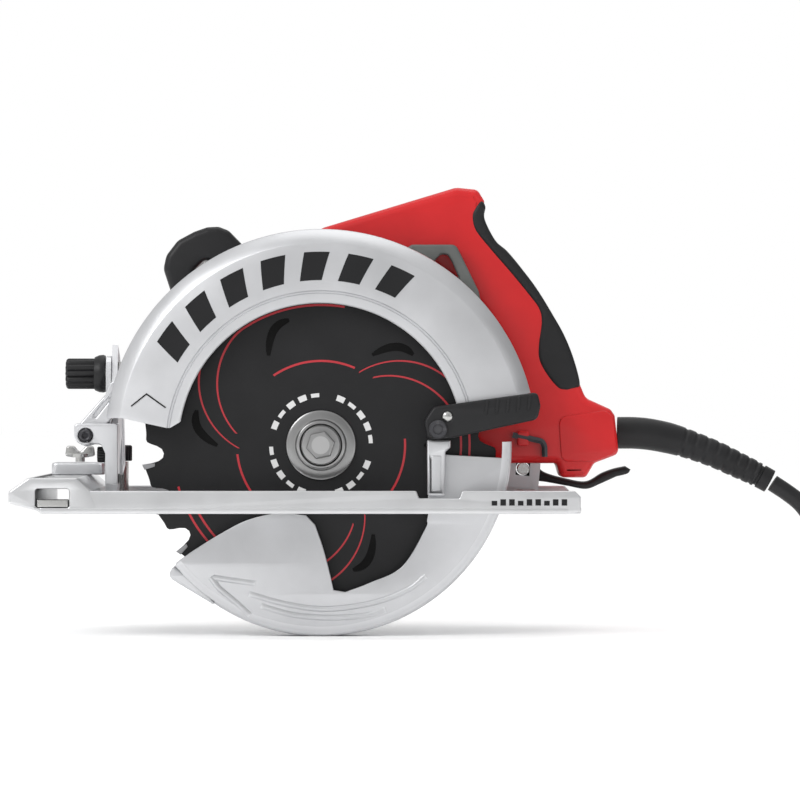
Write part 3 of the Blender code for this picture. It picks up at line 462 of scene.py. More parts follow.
@dataclass(frozen=True)
class Finish:
    """A material: its colour and gloss, with a fine grain, slow colour changes and worn edges."""

    name: str
    colour: tuple[float, float, float]
    roughness: float = 0.4
    metallic: float = 0.0
    grain_per_m: float = 900.0      # cells of the surface's fine grain in a metre
    grain_mm: float = 0.03          # how deep that grain is
    mottle: float = 0.12            # how far the colour wanders, as a part of itself
    rough_range: float = 0.08       # how far the roughness wanders
    slot: str = ""                  # the CAD material that it stands for
    coat: float = 0.0
    specular: float = 0.5
    wear: float = 0.0               # how much lighter the sharp edges are
    turned_lines: float = 0.0       # depth of circular brushing about the arbor, in millimetres

    MOTTLE_PER_M = 42.0
    MOTTLE_STOPS = (0.3, 0.7)
    COAT_ROUGHNESS = 0.12
    EDGE_RANGE = (0.53, 0.62)       # pointiness where wear starts, and where it is full
    BRUSH_RINGS_PER_M = 260.0

    def material(self) -> bpy.types.Material:
        """The Blender material, made once."""
        found = bpy.data.materials.get(self.name)
        return found if found else self._make()

    def _make(self) -> bpy.types.Material:
        """Builds the node tree: grain to Bump, slow noise to colour and roughness, pointed edges to wear."""
        made = bpy.data.materials.new(self.name)
        made.use_nodes = True
        tree = made.node_tree
        coords = add_node(tree, "ShaderNodeTexCoord").outputs["Object"]
        slow = self._noise(tree, coords, self.MOTTLE_PER_M, 3)
        dark = [c * (1 - self.mottle) for c in self.colour]
        light = [min(1.0, c * (1 + self.mottle)) for c in self.colour]
        colour = add_ramp(tree, slow, (self.MOTTLE_STOPS[0], dark), (self.MOTTLE_STOPS[1], light))
        spread = add_node(tree, "ShaderNodeMapRange", {"Value": slow,
                                                       "To Min": max(0.05, self.roughness - self.rough_range),
                                                       "To Max": self.roughness + self.rough_range})
        bump = add_node(tree, "ShaderNodeBump", {"Strength": 0.6, "Distance": self.grain_mm * MM,
                                                 "Height": self._noise(tree, coords, self.grain_per_m, 2)})
        if self.turned_lines:
            tree.links.new(self._brushed(tree, coords), bump.inputs["Normal"])
        shader = tree.nodes["Principled BSDF"]
        for name, value in (("Metallic", self.metallic), ("Coat Weight", self.coat),
                            ("Coat Roughness", self.COAT_ROUGHNESS), ("Specular IOR Level", self.specular)):
            shader.inputs[name].default_value = value
        for name, socket in (("Base Color", self._worn(tree, colour) if self.wear else colour),
                             ("Roughness", spread.outputs["Result"]), ("Normal", bump.outputs["Normal"])):
            tree.links.new(socket, shader.inputs[name])
        return made

    @staticmethod
    def _noise(tree: bpy.types.NodeTree, coords: bpy.types.NodeSocket, scale: float,
               detail: float) -> bpy.types.NodeSocket:
        """A noise texture's value at a scale in cells to a metre."""
        node = add_node(tree, "ShaderNodeTexNoise", {"Vector": coords, "Scale": scale, "Detail": detail})
        return node.outputs["Fac"]

    def _worn(self, tree: bpy.types.NodeTree, colour: bpy.types.NodeSocket) -> bpy.types.NodeSocket:
        """The colour, lighter where the surface comes to an edge."""
        geometry = add_node(tree, "ShaderNodeNewGeometry")
        edge = add_node(tree, "ShaderNodeMapRange", {"Value": geometry.outputs["Pointiness"],
                                                     "From Min": self.EDGE_RANGE[0],
                                                     "From Max": self.EDGE_RANGE[1], "To Max": self.wear})
        bare = (*(min(1.0, c * 1.3 + 0.12) for c in self.colour), 1)
        mix = add_node(tree, "ShaderNodeMix", {"Factor": edge.outputs["Result"], "A": colour, "B": bare},
                       data_type="RGBA")
        return mix.outputs["Result"]

    def _brushed(self, tree: bpy.types.NodeTree, coords: bpy.types.NodeSocket) -> bpy.types.NodeSocket:
        """Fine rings under the grain: a sine of the distance from the arbor's axis, broken by noise."""
        centre = Datum.world(np.array([0.0, 0.0, Datum.arbor_z]))
        place = add_node(tree, "ShaderNodeMapping", {"Vector": coords, "Location": tuple(-centre)},
                         vector_type="POINT")
        wave = add_node(tree, "ShaderNodeTexWave", {"Vector": place.outputs["Vector"],
                                                    "Scale": self.BRUSH_RINGS_PER_M, "Distortion": 4.0,
                                                    "Detail": 3.0}, wave_type="RINGS", rings_direction="Y")
        under = add_node(tree, "ShaderNodeBump", {"Height": wave.outputs["Fac"], "Strength": 0.5,
                                                  "Distance": self.turned_lines * MM})
        return under.outputs["Normal"]


CAST = Finish("die_cast_alloy", (0.60, 0.605, 0.62), 0.38, 0.85, 1400, 0.035, 0.05, 0.06, "cast_aluminium",
              wear=0.5)
# Cast alloy of the handle web: its colour is darkened to a painted shade, as the web sits in shadow; its
# coarse grain is its own.
WEB_CAST_PAINTED_SHADE = Finish("rough_casting_painted_shade", (0.12, 0.125, 0.12), 0.52, 0.55, 1100, 0.09, 0.22, 0.08, "cast_aluminium")
FOOT_ALLOY = Finish("foot_alloy", (0.64, 0.645, 0.655), 0.34, 0.88, 1100, 0.03, 0.05, 0.07, "magnesium_foot",
                    wear=0.5)
STEEL = Finish("zinc_plated_steel", (0.50, 0.50, 0.49), 0.24, 1.0, 700, 0.01, 0.06, 0.06, "bright_steel",
               wear=0.3)
ARBOR_STEEL = Finish("oiled_steel", (0.30, 0.30, 0.30), 0.30, 1.0, 900, 0.012, 0.12, 0.07, "bright_steel",
                     wear=0.8)
DARK_STEEL = Finish("blackened_steel", (0.045, 0.045, 0.05), 0.38, 0.85, 900, 0.012, 0.15, 0.08, "dark_steel",
                    wear=0.35)
COATING = Finish("dark_coating", (0.013, 0.013, 0.014), 0.42, 0.0, 900, 0.008, 0.12, 0.07, "blade_coating",
                 turned_lines=0.012, specular=0.22)
CARBIDE = Finish("carbide_tips", (0.30, 0.30, 0.31), 0.34, 0.9, 900, 0.01, 0.1, 0.06, "bright_steel")
RED = Finish("red_moulding", (0.52, 0.008, 0.010), 0.34, 0.0, 1500, 0.02, 0.06, 0.06, "red_plastic",
             coat=0.15, specular=0.34)
BLACK = Finish("black_moulding", (0.010, 0.010, 0.011), 0.42, 0.0, 1300, 0.035, 0.15, 0.08, "black_plastic",
               specular=0.32)
RUBBER = Finish("soft_grip", (0.010, 0.010, 0.011), 0.50, 0.0, 1000, 0.06, 0.2, 0.08, "black_rubber",
                specular=0.32)
JACKET = Finish("cord_jacket", (0.010, 0.010, 0.011), 0.42, 0.0, 800, 0.03, 0.2, 0.08, "cord_rubber",
                specular=0.38)
STRIPE = Finish("red_stripe_ink", (0.42, 0.014, 0.024), 0.45, 0.0, 900, 0.003, 0.06, 0.04, "red_plastic")
MARK_BLACK = Finish("black_ink", (0.012, 0.012, 0.013), 0.42, 0.0, 900, 0.003, 0.1, 0.04, "black_plastic",
                    specular=0.2)
MARK_WHITE = Finish("white_ink", (0.62, 0.62, 0.62), 0.5, 0.0, 900, 0.003, 0.05, 0.04, "bright_steel")
COPPER = Finish("bare_copper", (0.72, 0.30, 0.16), 0.35, 1.0, 900, 0.01, 0.1, 0.06)
BRASS = Finish("brass_blades", (0.72, 0.52, 0.22), 0.28, 1.0, 900, 0.008, 0.06, 0.05, "copper")
CARBON = Finish("pressed_carbon", (0.006, 0.006, 0.006), 0.8, 0.0, 1500, 0.03, slot="black_plastic",
                specular=0.1)
FLOOR = Finish("pale_floor", (1.0, 1.0, 1.0), 0.60, 0.0, 60, 0.02, 0.0, 0.02, specular=0.0)

KEPT_NODES: dict[Finish, tuple[str, ...]] = {       # CAD nodes whose shape stays, under their finish
    CAST: ("bevel_upright", "bevel_quadrant", "depth_bracket", "gear_housing"),
    STEEL: ("front_hinge_pin", "rear_hinge_pin", "fence_lock_post", "bevel_bolt", "depth_lock_bolt",
            "arbor_bearing", "armature_front_bearing", "armature_rear_bearing", "arbor_shaft",
            "armature_shaft"),
    DARK_STEEL: ("field_stator", "guard_spring", "drive_gear", "inner_flange"),
    COPPER: ("armature_core", "commutator"),
    CARBON: ("carbon_brush_upper", "carbon_brush_lower"),
    BLACK: ("brush_holder_upper", "brush_holder_lower", "switch_body", "cooling_fan"),
}
MARK_PROUD, MARK_SUNK = 0.12, 0.05      # how far ink stands out of its surface, and reaches into it


def place(shape: Shape, name: str, finish: Finish, body: Body, *nodes: str, slot: str | None = None,
          smooth: float = SMOOTH) -> bpy.types.Object:
    """Builds a piece, hangs it on its body and hides the CAD nodes that it stands for.

    Args:
        shape: its mesh.
        name: its name.
        finish: its finish.
        body: the body that it rides on.
        nodes: the CAD nodes that it stands for.
        slot: the CAD material that it stands for, where that isn't its finish's own; not used.
        smooth: edges under this angle, in degrees, are shaded smooth.

    Returns:
        The new object.
    """
    obj = shape.build(name, finish, smooth)
    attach(obj, body.value)
    if nodes:
        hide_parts(*nodes)
    log.info("%s: %d faces", name, len(obj.data.polygons))
    return obj


# ---------------------------------------------------------------- guards
@dataclass
class UpperGuard:
    """The cast guard over the blade: a flat face ring, a bevelled corner, a rim and a back wall."""

    outer: float = 110.3
    face_outer: float = 103.2
    inner: float = 72.3
    groove_r: float = 78.0
    face_y: float = -12.0
    back_y: float = 14.0
    start: float = 14.0
    face_end_z: float = 43.1
    rim_end_z: float = 48.1
    rise_from: float = 95.4         # radius where the front end steps up from the face to the rim
    rise_to: float = 102.4
    chamfer_from: float = 75.6      # radius inside which the front end is chamfered
    bars: int = 7
    bar_radius: tuple[float, float] = (84.0, 98.5)
    bar_first: float = 150.0        # angles, in degrees
    bar_step: float = 13.2
    bar_width: float = 7.6
    bar_lean: float = -0.16         # degrees for each millimetre of radius

    def shell(self) -> Shape:
        """Face, bevel and rim: a section turned about the arbor, each of its points to its own end angle.

        The end angle is 180 - asin((end height - arbor height) / radius), so that the end is cut level.
        """
        fy, g = self.face_y, self.groove_r
        section = np.array([(self.inner, fy + 2.4), (self.inner, fy + 0.5), (self.inner + 0.5, fy),
                            (g - 0.9, fy), (g - 0.4, fy + 0.7), (g + 0.4, fy + 0.7), (g + 0.9, fy),
                            (self.face_outer - 0.6, fy), (self.face_outer + 0.3, fy + 0.35),
                            (self.outer - 0.5, fy + 6.1), (self.outer, fy + 7.0),
                            (self.outer, self.back_y - 0.8), (self.outer - 0.7, self.back_y),
                            (self.outer - 2.3, self.back_y), (self.outer - 2.5, fy + 7.6),
                            (self.face_outer - 1.0, fy + 2.5)])
        radius = section[:, 0]
        rise = np.clip((radius - self.rise_from) / (self.rise_to - self.rise_from), 0, 1)
        end_z = self.face_end_z + (self.rim_end_z - self.face_end_z) * rise
        end_z = end_z + np.clip(self.chamfer_from - radius, 0, 4)
        end = 180 - np.degrees(np.arcsin((end_z - Datum.arbor_z) / radius))
        turn = self.start + (end - self.start) * np.linspace(0, 1, 120)[:, None]
        return Shape().grid(about_arbor(radius, turn, section[:, 1]), capped=True)

    def back(self, shape: Shape) -> None:
        """The back wall with its two holes, and the front ear on the depth pivot."""
        az = Datum.arbor_z
        wall = np.vstack([arc(0, az, self.outer - 1.2, 16, 164, 80),
                          [(-70, 40), (-20, 12), (24, 12), (70, 30)]])
        plate(wall, self.back_y - 2.5, self.back_y - 0.1, holes=[circle(0, az, 17), circle(-38, 66, 6, 32)],
              shape=shape)
        ear = rounded([(-125.4, 36), (-120, 33.4), (-114.5, 35), (-112.2, 40), (-100.5, 57), (-99.5, 66),
                       (-106.6, 64), (-125.6, 42.6)], [5, 5, 4, 4, 3, 2, 3, 4])
        pin = circle(-120, 39.2, 3.4, 32)
        groove = stadium((-115.4, 49.2), (-108.6, 57.8), 0.9)
        plate(ear, -4, -1.5, holes=[pin, groove], ends=(1.0, 0), shape=shape)
        plate(ear, -1.6, 4, holes=[pin], ends=(0, 1.0), shape=shape)
        rib = rounded([(-112.5, 54), (-106, 62), (-103.6, 68), (-107.5, 66)], 1.2)
        plate(rib, -4.9, 4.9, shape=shape)

    def bar(self, start: float, shape: Shape) -> None:
        """A thin ink bar on the face, from an angle back by its width, its sides leaning with the radius."""
        r = np.linspace(*self.bar_radius, 5)
        turn = np.linspace(start - self.bar_width, start, 12)[:, None] + self.bar_lean * (r - r[0])
        shape.slab(about_arbor(r, turn, self.face_y - MARK_PROUD),
                   about_arbor(r, turn, self.face_y + MARK_SUNK))

    def dress(self) -> None:
        """Makes the guard and its ink marks: slanted bars and a chevron."""
        shape = self.shell()
        self.back(shape)
        place(shape, "upper_guard_casting", CAST, Body.HEAD, "upper_guard")
        bars = Shape()
        for i in range(self.bars):
            self.bar(self.bar_first - i * self.bar_step, bars)
        place(bars, "guard_bars", MARK_BLACK, Body.HEAD)
        chevron = np.array([(-96.6, 54.4), (-88.6, 60.8), (-78.6, 53.6), (-79.1, 53.1), (-88.6, 59.9),
                            (-96.2, 53.9)])
        place(plate(chevron, self.face_y - MARK_PROUD, self.face_y + MARK_SUNK), "guard_chevron", MARK_BLACK,
              Body.HEAD)


@dataclass
class LowerGuard:
    """The pivoting guard round the blade's lower half: a crescent face, a filleted rim and a lifting arm."""

    outer: float = 97.5
    face_y: float = -8.5
    back_y: float = 9.0
    start: float = 219.6                            # where the guard begins round the arbor, in degrees
    screw: tuple[float, float] = (59.7, 42.4)       # X and Z of the lever's screw and rivet
    rivet: tuple[float, float] = (64.5, 48.9)

    def crescent(self) -> Array:
        """The face's outline: its cut-out as splines, and its outer edge as an arc."""
        az = Datum.arbor_z
        right = np.array([(54.7, 30), (54.7, -1)])
        curve = spline([(54.2, -4), (53.2, -8.5), (41.4, -27.6), (24.6, -36.0), (12.5, -40.6)], 10)
        lobe = spline([(6.6, -39.6), (4.4, -30), (1.2, -18), (-2.8, -6.4)], 8)
        front = spline([(-7.5, -1.5), (-21, -0.4), (-36.3, -3.5), (-49.6, -10), (-63.4, -18.4),
                        (-73.5, -25.4)], 8)
        return np.vstack([right, curve, lobe, front, arc(0, az, self.outer - 1.1, self.start, 356, 90)])

    def shell(self) -> Shape:
        """The guard itself."""
        az, fy = Datum.arbor_z, self.face_y
        shape = plate(self.crescent(), fy + 0.1, fy + 1.8, ends=(0.5, 0.3))
        o = self.outer
        fillet = [(o - 3 + 3 * math.sin(b), fy + 3 - 3 * math.cos(b))
                  for b in np.radians(np.linspace(0, 90, 7))]
        section = ([(o - 5.0, fy)] + fillet + [(o, self.back_y - 0.8), (o - 0.7, self.back_y),
                                               (o - 1.8, self.back_y), (o - 2.4, self.back_y - 1),
                                               (o - 2.4, fy + 3.2), (o - 5.0, fy + 2.2)])
        turned(section, (0, az), steps=110, closed=True, arc_deg=(self.start, 361.0), shape=shape)
        back = np.vstack([arc(0, az, o - 1.2, 220.5, 352, 80),
                          [(60, 20), (20, az + 20), (-16, az + 12), (-40, -8)]])
        plate(back, self.back_y - 1.8, self.back_y - 0.1, holes=[circle(0, az, 15.3)], shape=shape)
        turned([(15.3, self.back_y - 1.2), (19.5, self.back_y - 1.2), (19.5, self.back_y + 2),
                (15.3, self.back_y + 2)], (0, az), closed=True, shape=shape)
        return shape

    def arm(self, shape: Shape) -> None:
        """The cast arm that carries the lift lever, its recessed web and shelf, and the lip at the front."""
        plate(rounded([(54.3, 8.7), (63.2, 8.7), (63.6, 31), (66.2, 33.2), (66.2, 37), (54.1, 37),
                       (54.1, 30)], 1.0), -15.2, -7.2, ends=(1.2, 0.5), shape=shape)
        plate(rounded([(56.4, 11), (61.0, 11), (61.4, 29), (56.4, 29)], 0.8), -15.9, -15.0, ends=(0.3, 0),
              shape=shape)
        lip = rounded([(-70, -31.5), (-75.2, -27.6), (-76.8, -30.2), (-77.2, -32.4), (-75.8, -34.2),
                       (-71.5, -36.9), (-64, -41.4), (-54, -47.4), (-56, -44)],
                      [1, 2, 2, 1.5, 1.5, 6, 8, 0.5, 0.5])
        plate(lip, self.face_y + 0.1, self.back_y - 0.2, ends=(1.0, 0.6), steps=5, shape=shape)

    def ridge(self, path: Array, half: float, shape: Shape) -> None:
        """A raised bead on the face: its height falls as a cosine to each side of the path."""
        across = np.linspace(-1, 1, 9)
        uv = path[:, None] + side_normals(path)[:, None] * (across * half)[None, :, None]
        height = 0.9 * np.cos(across * np.pi / 2) ** 0.7
        taper = np.sin(np.linspace(0.12, np.pi - 0.12, len(path))) ** 0.25
        y = self.face_y + 0.12 - height[None, :] * taper[:, None]
        under = np.full_like(y, self.face_y + 0.4)
        shape.slab(*(np.stack([uv[..., 0], w, uv[..., 1]], axis=-1) for w in (y, under)))

    def arrow(self, shape: Shape) -> None:
        """The raised turning arrow: two long beads and a head."""
        inner = spline([(-36.5, -41.5), (-18, -46.6), (2.4, -49.2), (26, -46.2), (44, -39.6), (53.5, -32.5)],
                       10)
        outer = spline([(-30.5, -47.6), (-14, -52.2), (4, -53.6), (22, -52.6), (33, -49.6)], 10)
        head = np.vstack([spline([(-33.4, -36.2), (-45, -34.6), (-56.0, -33.0)], 8),
                          spline([(-52.0, -38.6), (-43, -46.0), (-36.0, -52.4)], 8)])
        for path in (inner, outer, head):
            self.ridge(path, 1.5, shape)

    def dress(self) -> None:
        """Makes the guard, its lever, and the lever's screw and rivet."""
        shape = self.shell()
        self.arm(shape)
        self.arrow(shape)
        place(shape, "lower_guard_casting", CAST, Body.LOWER, "lower_guard")
        grip = rounded([(57.5, 53.9), (110.2, 61.3), (111.8, 54.5), (110.2, 47.4), (66.9, 38.0), (54.3, 37.2),
                        (52.7, 46.8)], [4, 3, 4, 4, 5, 3, 4], 8)
        lever = plate(grip, -18.6, -12.6, holes=[circle(*self.screw, 2.9, 24), circle(*self.rivet, 2.3, 24)],
                      ends=(1.5, 0.8), steps=5)
        for i in range(5):
            x = 84 + 5.4 * i
            z = 53.2 + 0.11 * (x - 84)
            plate(stadium((x, z - 2.6), (x + 0.8, z + 3.4), 0.8), -19.1, -18.3, ends=(0.35, 0), shape=lever)
        place(lever, "lift_lever_grip", BLACK, Body.LOWER, "lift_lever")
        screw = turned([(2.4, -18.8), (2.4, -20.2), (2.6, -20.4), (4.2, -20.4), (4.7, -19.9), (4.7, -18.4),
                        (2.4, -18.4)], self.screw, steps=40, closed=True)
        turned([(0, -18.8), (2.7, -18.8), (2.7, -18.2), (0, -18.2)], self.screw, steps=40, shape=screw)
        place(screw, "lift_lever_screw", DARK_STEEL, Body.LOWER, "lift_lever_bolt", slot="bright_steel")
        rivet = turned([(0, -19.3), (1.2, -19.2), (2.3, -18.7), (2.6, -18.3), (2.0, -18.2), (2.0, -12.9),
                        (0, -12.9)], self.rivet, steps=32)
        place(rivet, "lift_lever_rivet_head", STEEL, Body.LOWER, "lift_lever_rivet")


# ---------------------------------------------------------------- blade
@dataclass
class Blade:
    """The blade with its carbide tips, slots and printed lines, and its washer and bolt."""

    radius: float = 92.0
    teeth: int = 24
    thick: float = 1.8
    first_tip: float = 216.3
    bore: float = 8.2
    slot_count: int = 6
    line_half: float = 0.55         # half the width of a printed line
    dash_radius: float = 25.5

    # printed lines: radius, its fall, degrees after the group's start, degrees run
    LINES = ((76.0, 0, 0, 62), (71.6, 0, 4, 44), (76, 34, 62, 44), (71.6, 28, 48, 48), (43.0, 0, -10, 58))

    def outline(self) -> Array:
        """One tooth's profile in (angle ahead of the tip, share of the radius), turned to every tooth."""
        tooth = np.array([(0.0, 0.992), (-0.15, 0.945), (-0.7, 0.905), (-1.7, 0.882), (-3.2, 0.875),
                          (-4.8, 0.885), (-5.9, 0.912), (-6.6, 0.945), (-7.2, 0.966), (-8.0, 0.973),
                          (-9.6, 0.973), (-11.0, 0.976), (-13.2, 0.984)])
        tip = self.first_tip - np.arange(self.teeth) * 360 / self.teeth
        return about_arbor(self.radius * tooth[:, 1], tip[:, None] + tooth[:, 0])[..., ::2].reshape(-1, 2)

    def slots(self) -> list[Array]:
        """Curved expansion slots between the stripes, with round ends."""
        out = []
        for i in range(self.slot_count):
            t = np.linspace(0, 1, 14)
            r = 66 - 13 * t + 4 * np.sin(np.pi * t)
            mid = about_arbor(r, self.first_tip + 8 + i * 360 / self.slot_count + 16 * t)[:, ::2]
            side = side_normals(mid) * (2.1 * np.sin(np.pi * np.clip(t, 0.02, 0.98)) ** 0.35)[:, None]
            out.append(np.vstack([mid + side, (mid - side)[::-1]]))
        return out

    def tips(self) -> Shape:
        """Carbide tips: small wedges a little wider than the plate, their face along the tooth's front."""
        shape = Shape()
        wedge = np.array([(0.0, 1.0), (-0.05, 0.928), (1.1, 0.932), (1.75, 0.990)])
        for i in range(self.teeth):
            tip = self.first_tip - i * 360 / self.teeth
            loop = about_arbor(self.radius * wedge[:, 1], tip + wedge[:, 0])[:, ::2]
            plate(loop, -1.2, 1.2, ends=(0.15, 0.15), steps=1, shape=shape)
        return shape

    def ribbon(self, radius: float, fall: float, start: float, sweep: float, half: float,
               shape: Shape) -> None:
        """A printed line on each side, at radius - fall * t ** 1.6, t from 0 to 1 along its sweep."""
        t = np.linspace(0, 1, 40)
        r = (radius - fall * t ** 1.6)[:, None] + np.array([-half, half])
        turn = (start + sweep * t)[:, None]
        for side in (-1, 1):
            shape.slab(about_arbor(r, turn, side * (self.thick / 2 + 0.03)),
                       about_arbor(r, turn, side * (self.thick / 2 - 0.1)))

    def dress(self) -> None:
        """Makes the plate, tips, printed lines, washer and bolt."""
        az = Datum.arbor_z
        holes = [circle(0, az, self.bore, 48)] + self.slots()
        body = plate(self.outline(), -self.thick / 2, self.thick / 2, holes=holes, ends=(0.12, 0.12), steps=1)
        place(body, "blade_plate", COATING, Body.BLADE, "saw_blade", smooth=25)
        filler = Shape()
        for slot in self.slots():
            plate(slot, -0.7, 0.7, ends=(0, 0), shape=filler)
        place(filler, "slot_damping_fill", CARBON, Body.BLADE)
        place(self.tips(), "carbide_tips", CARBIDE, Body.BLADE, smooth=20)
        lines = Shape()
        for i in range(3):
            start = self.first_tip - 20 + i * 120
            for radius, fall, after, sweep in self.LINES:
                self.ribbon(radius, fall, start + after, sweep, self.line_half, lines)
        place(lines, "blade_lines", STRIPE, Body.BLADE)
        dashes = Shape()
        for i in range(24):
            if i % 6 == 5:
                continue
            self.ribbon(self.dash_radius, 0, i * 15 + 2, 9.5, 1.5 if i % 3 else 1.0, dashes)
        place(dashes, "arbor_dashes", MARK_WHITE, Body.BLADE)
        washer = turned([(7.8, -1.25), (17.3, -1.25), (17.8, -1.7), (17.6, -2.9), (16.9, -3.3), (13.2, -3.3),
                         (12.6, -4.6), (12.0, -4.95), (11.0, -4.95), (10.5, -4.5), (10.2, -3.4), (7.8, -3.4)],
                        (0, az), steps=80, closed=True)
        place(washer, "blade_washer", ARBOR_STEEL, Body.BLADE, "outer_flange", slot="dark_steel")
        bolt = turned([(0, -7.6), (6.0, -7.6), (9.6, -7.2), (10.0, -6.6), (9.9, -5.4), (0, -5.4)], (0, az),
                      steps=64)
        hexagon = arc(0, az, 7.5, 12, 372, 6)[:-1]
        plate(rounded(hexagon, 0.6, 3), -13.8, -7.0, ends=(0.9, 0), steps=4, shape=bolt)
        turned([(0, -13.3), (3.6, -13.3), (4.6, -13.95), (0, -13.95)], (0, az), steps=40, shape=bolt)
        place(bolt, "blade_bolt_head", ARBOR_STEEL, Body.BLADE, "blade_bolt")


# ---------------------------------------------------------------- foot and bevel parts
@dataclass
class Foot:
    """The cast foot: sole plate with its blade slot, raised nose with the fence window, and rims."""

    front: float = -156.6
    rear: float = 131.9
    near: float = -38.0
    far: float = 105.0
    thick: float = 3.0
    rim_top: float = 11.6
    hinge_z: float = 4.5
    hinge_bore: float = 2.4
    fence_screw: tuple[float, float] = (-127.5, 58)     # X and Y of the wing screw and of the lock nut
    fence_nut: tuple[float, float] = (-107.5, 88)
    ticks_long: int = 4                                 # every how many ticks one is long

    def plate_shape(self) -> Shape:
        """Sole, nose and rims in one shape."""
        sole = rounded([(-141, self.near), (self.rear, self.near), (self.rear, self.far), (-141, self.far)],
                       [1, 9, 9, 1], 8)
        slot = rounded([(-110.4, -10.5), (-98, -10.5), (-98, -18), (44, -18), (44, -26), (78, -26), (78, -20),
                        (112, -20), (112, 21), (-100, 21), (-110.4, 11)], 3)
        shape = plate(sole, 0, self.thick, Axis.Z, holes=[slot], ends=(0.6, 0.6))
        nose = rounded([(-139.5, 0.2), (-143.0, 1.8), (self.front, 5.2), (self.front + 0.1, 11.1),
                        (-146.6, 18.1), (-122.5, 18.1), (-115.4, 11.7), (-111.5, 2.4), (-112.5, 0.2)],
                       [4, 6, 1.2, 1.5, 1.8, 1.8, 1.5, 2, 0.5])
        window = rounded(rect(-143.1, 3.0, -126.0, 12.6), 1.6)
        plate(nose, self.near + 0.1, self.far - 0.1, holes=[window], ends=(0.9, 0.9), shape=shape)
        top = self.rim_top
        rim = rounded([(-117, 0.8), (self.rear - 0.6, 0.8), (self.rear - 0.6, top - 3),
                       (self.rear - 3.6, top), (71.6, top), (70.2, 7.8), (50.0, 7.8), (48.6, top),
                       (-117, top)], [0.3, 1, 1.5, 1.5, 1.2, 1.2, 1.2, 1.2, 0.5])
        for y0, y1 in ((self.near + 0.15, self.near + 2.5), (self.far - 2.5, self.far - 0.15)):
            plate(rim, y0, y1, ends=(0.8, 0.8), shape=shape)
        for x0, x1 in ((-118, -110.3), (112.3, 120)):
            lug = np.vstack([arc(0, self.hinge_z, 5.2, -30, 210, 20), [(-6.5, 1.5), (6.5, 1.5)]])
            plate(lug, x0, x1, Axis.X, holes=[circle(0, self.hinge_z, self.hinge_bore, 24)], shape=shape)
        for y in (34.0, 56.0, 78.0):
            plate(rounded(rect(-104, y - 1.0, 126, y + 1.0), 0.6), 2.6, 4.6, Axis.Z, ends=(0, 0.5),
                  shape=shape)
        return shape

    def ticks(self) -> Shape:
        """Generic scale ticks on the nose's near edge and top, every fourth one long."""
        shape = Shape()
        for i in range(13):
            y = self.near + 8 + i * 10.0
            length = 4.5 if i % self.ticks_long else 7.5
            plate(rect(-144.5, y - 0.35, -144.5 + length, y + 0.35), 18.0, 18.22, Axis.Z, ends=(0, 0),
                  shape=shape)
        for i in range(9):
            x, tall = 86.5 + i * 4.4, 7.4 if i % 3 else 6.6
            plate(rect(x, 4.2, x + 2.8, tall), self.near + 0.04, self.near + 0.3, ends=(0, 0), shape=shape)
        return shape

    def dress(self) -> None:
        """Makes the foot, its marks, and the fence's pad, clamp, screw and nut."""
        place(self.plate_shape(), "foot_casting", FOOT_ALLOY, Body.FOOT, "foot_plate")
        place(self.ticks(), "foot_ticks", MARK_BLACK, Body.FOOT)
        pad = plate(rounded(rect(-142.4, 3.2, -126.6, 7.2), 0.8), self.near + 1.2, self.near + 9.0,
                    ends=(0.6, 0.5))
        place(pad, "fence_guide_pad", STEEL, Body.FOOT)
        clamp = plate(rounded([(-141.5, 44), (-114, 44), (-114, 70), (-141.5, 70)], 3), 18.3, 24.6, Axis.Z,
                      ends=(0.5, 1.2), holes=[circle(*self.fence_screw, 3.0, 24)])
        place(clamp, "fence_clamp", CAST, Body.FOOT, "fence_clamp_bracket")
        screw = turned([(0, 24.9), (2.5, 24.9), (2.5, 27.2), (4.5, 27.2), (4.5, 29.0), (0, 29.0)],
                       self.fence_screw, Axis.Z, steps=32)
        wing = rounded([(-135.5, 27.8), (-134.6, 33.3), (-130.6, 33.3), (-127.5, 29.8), (-124.4, 33.3),
                        (-120.4, 33.3), (-119.5, 27.8), (-127.5, 26.9)], 1.6)
        plate(wing, 56.4, 59.6, ends=(1.0, 1.0), shape=screw)
        place(screw, "fence_wing_screw", STEEL, Body.SCREW, "fence_thumb_screw")
        nut = plate(lobed(*self.fence_nut, 5.4, 0.8, 14), 24.9, 33.3, Axis.Z, ends=(0.6, 1.0))
        place(nut, "fence_nut", BLACK, Body.NUT, "fence_lock_nut")


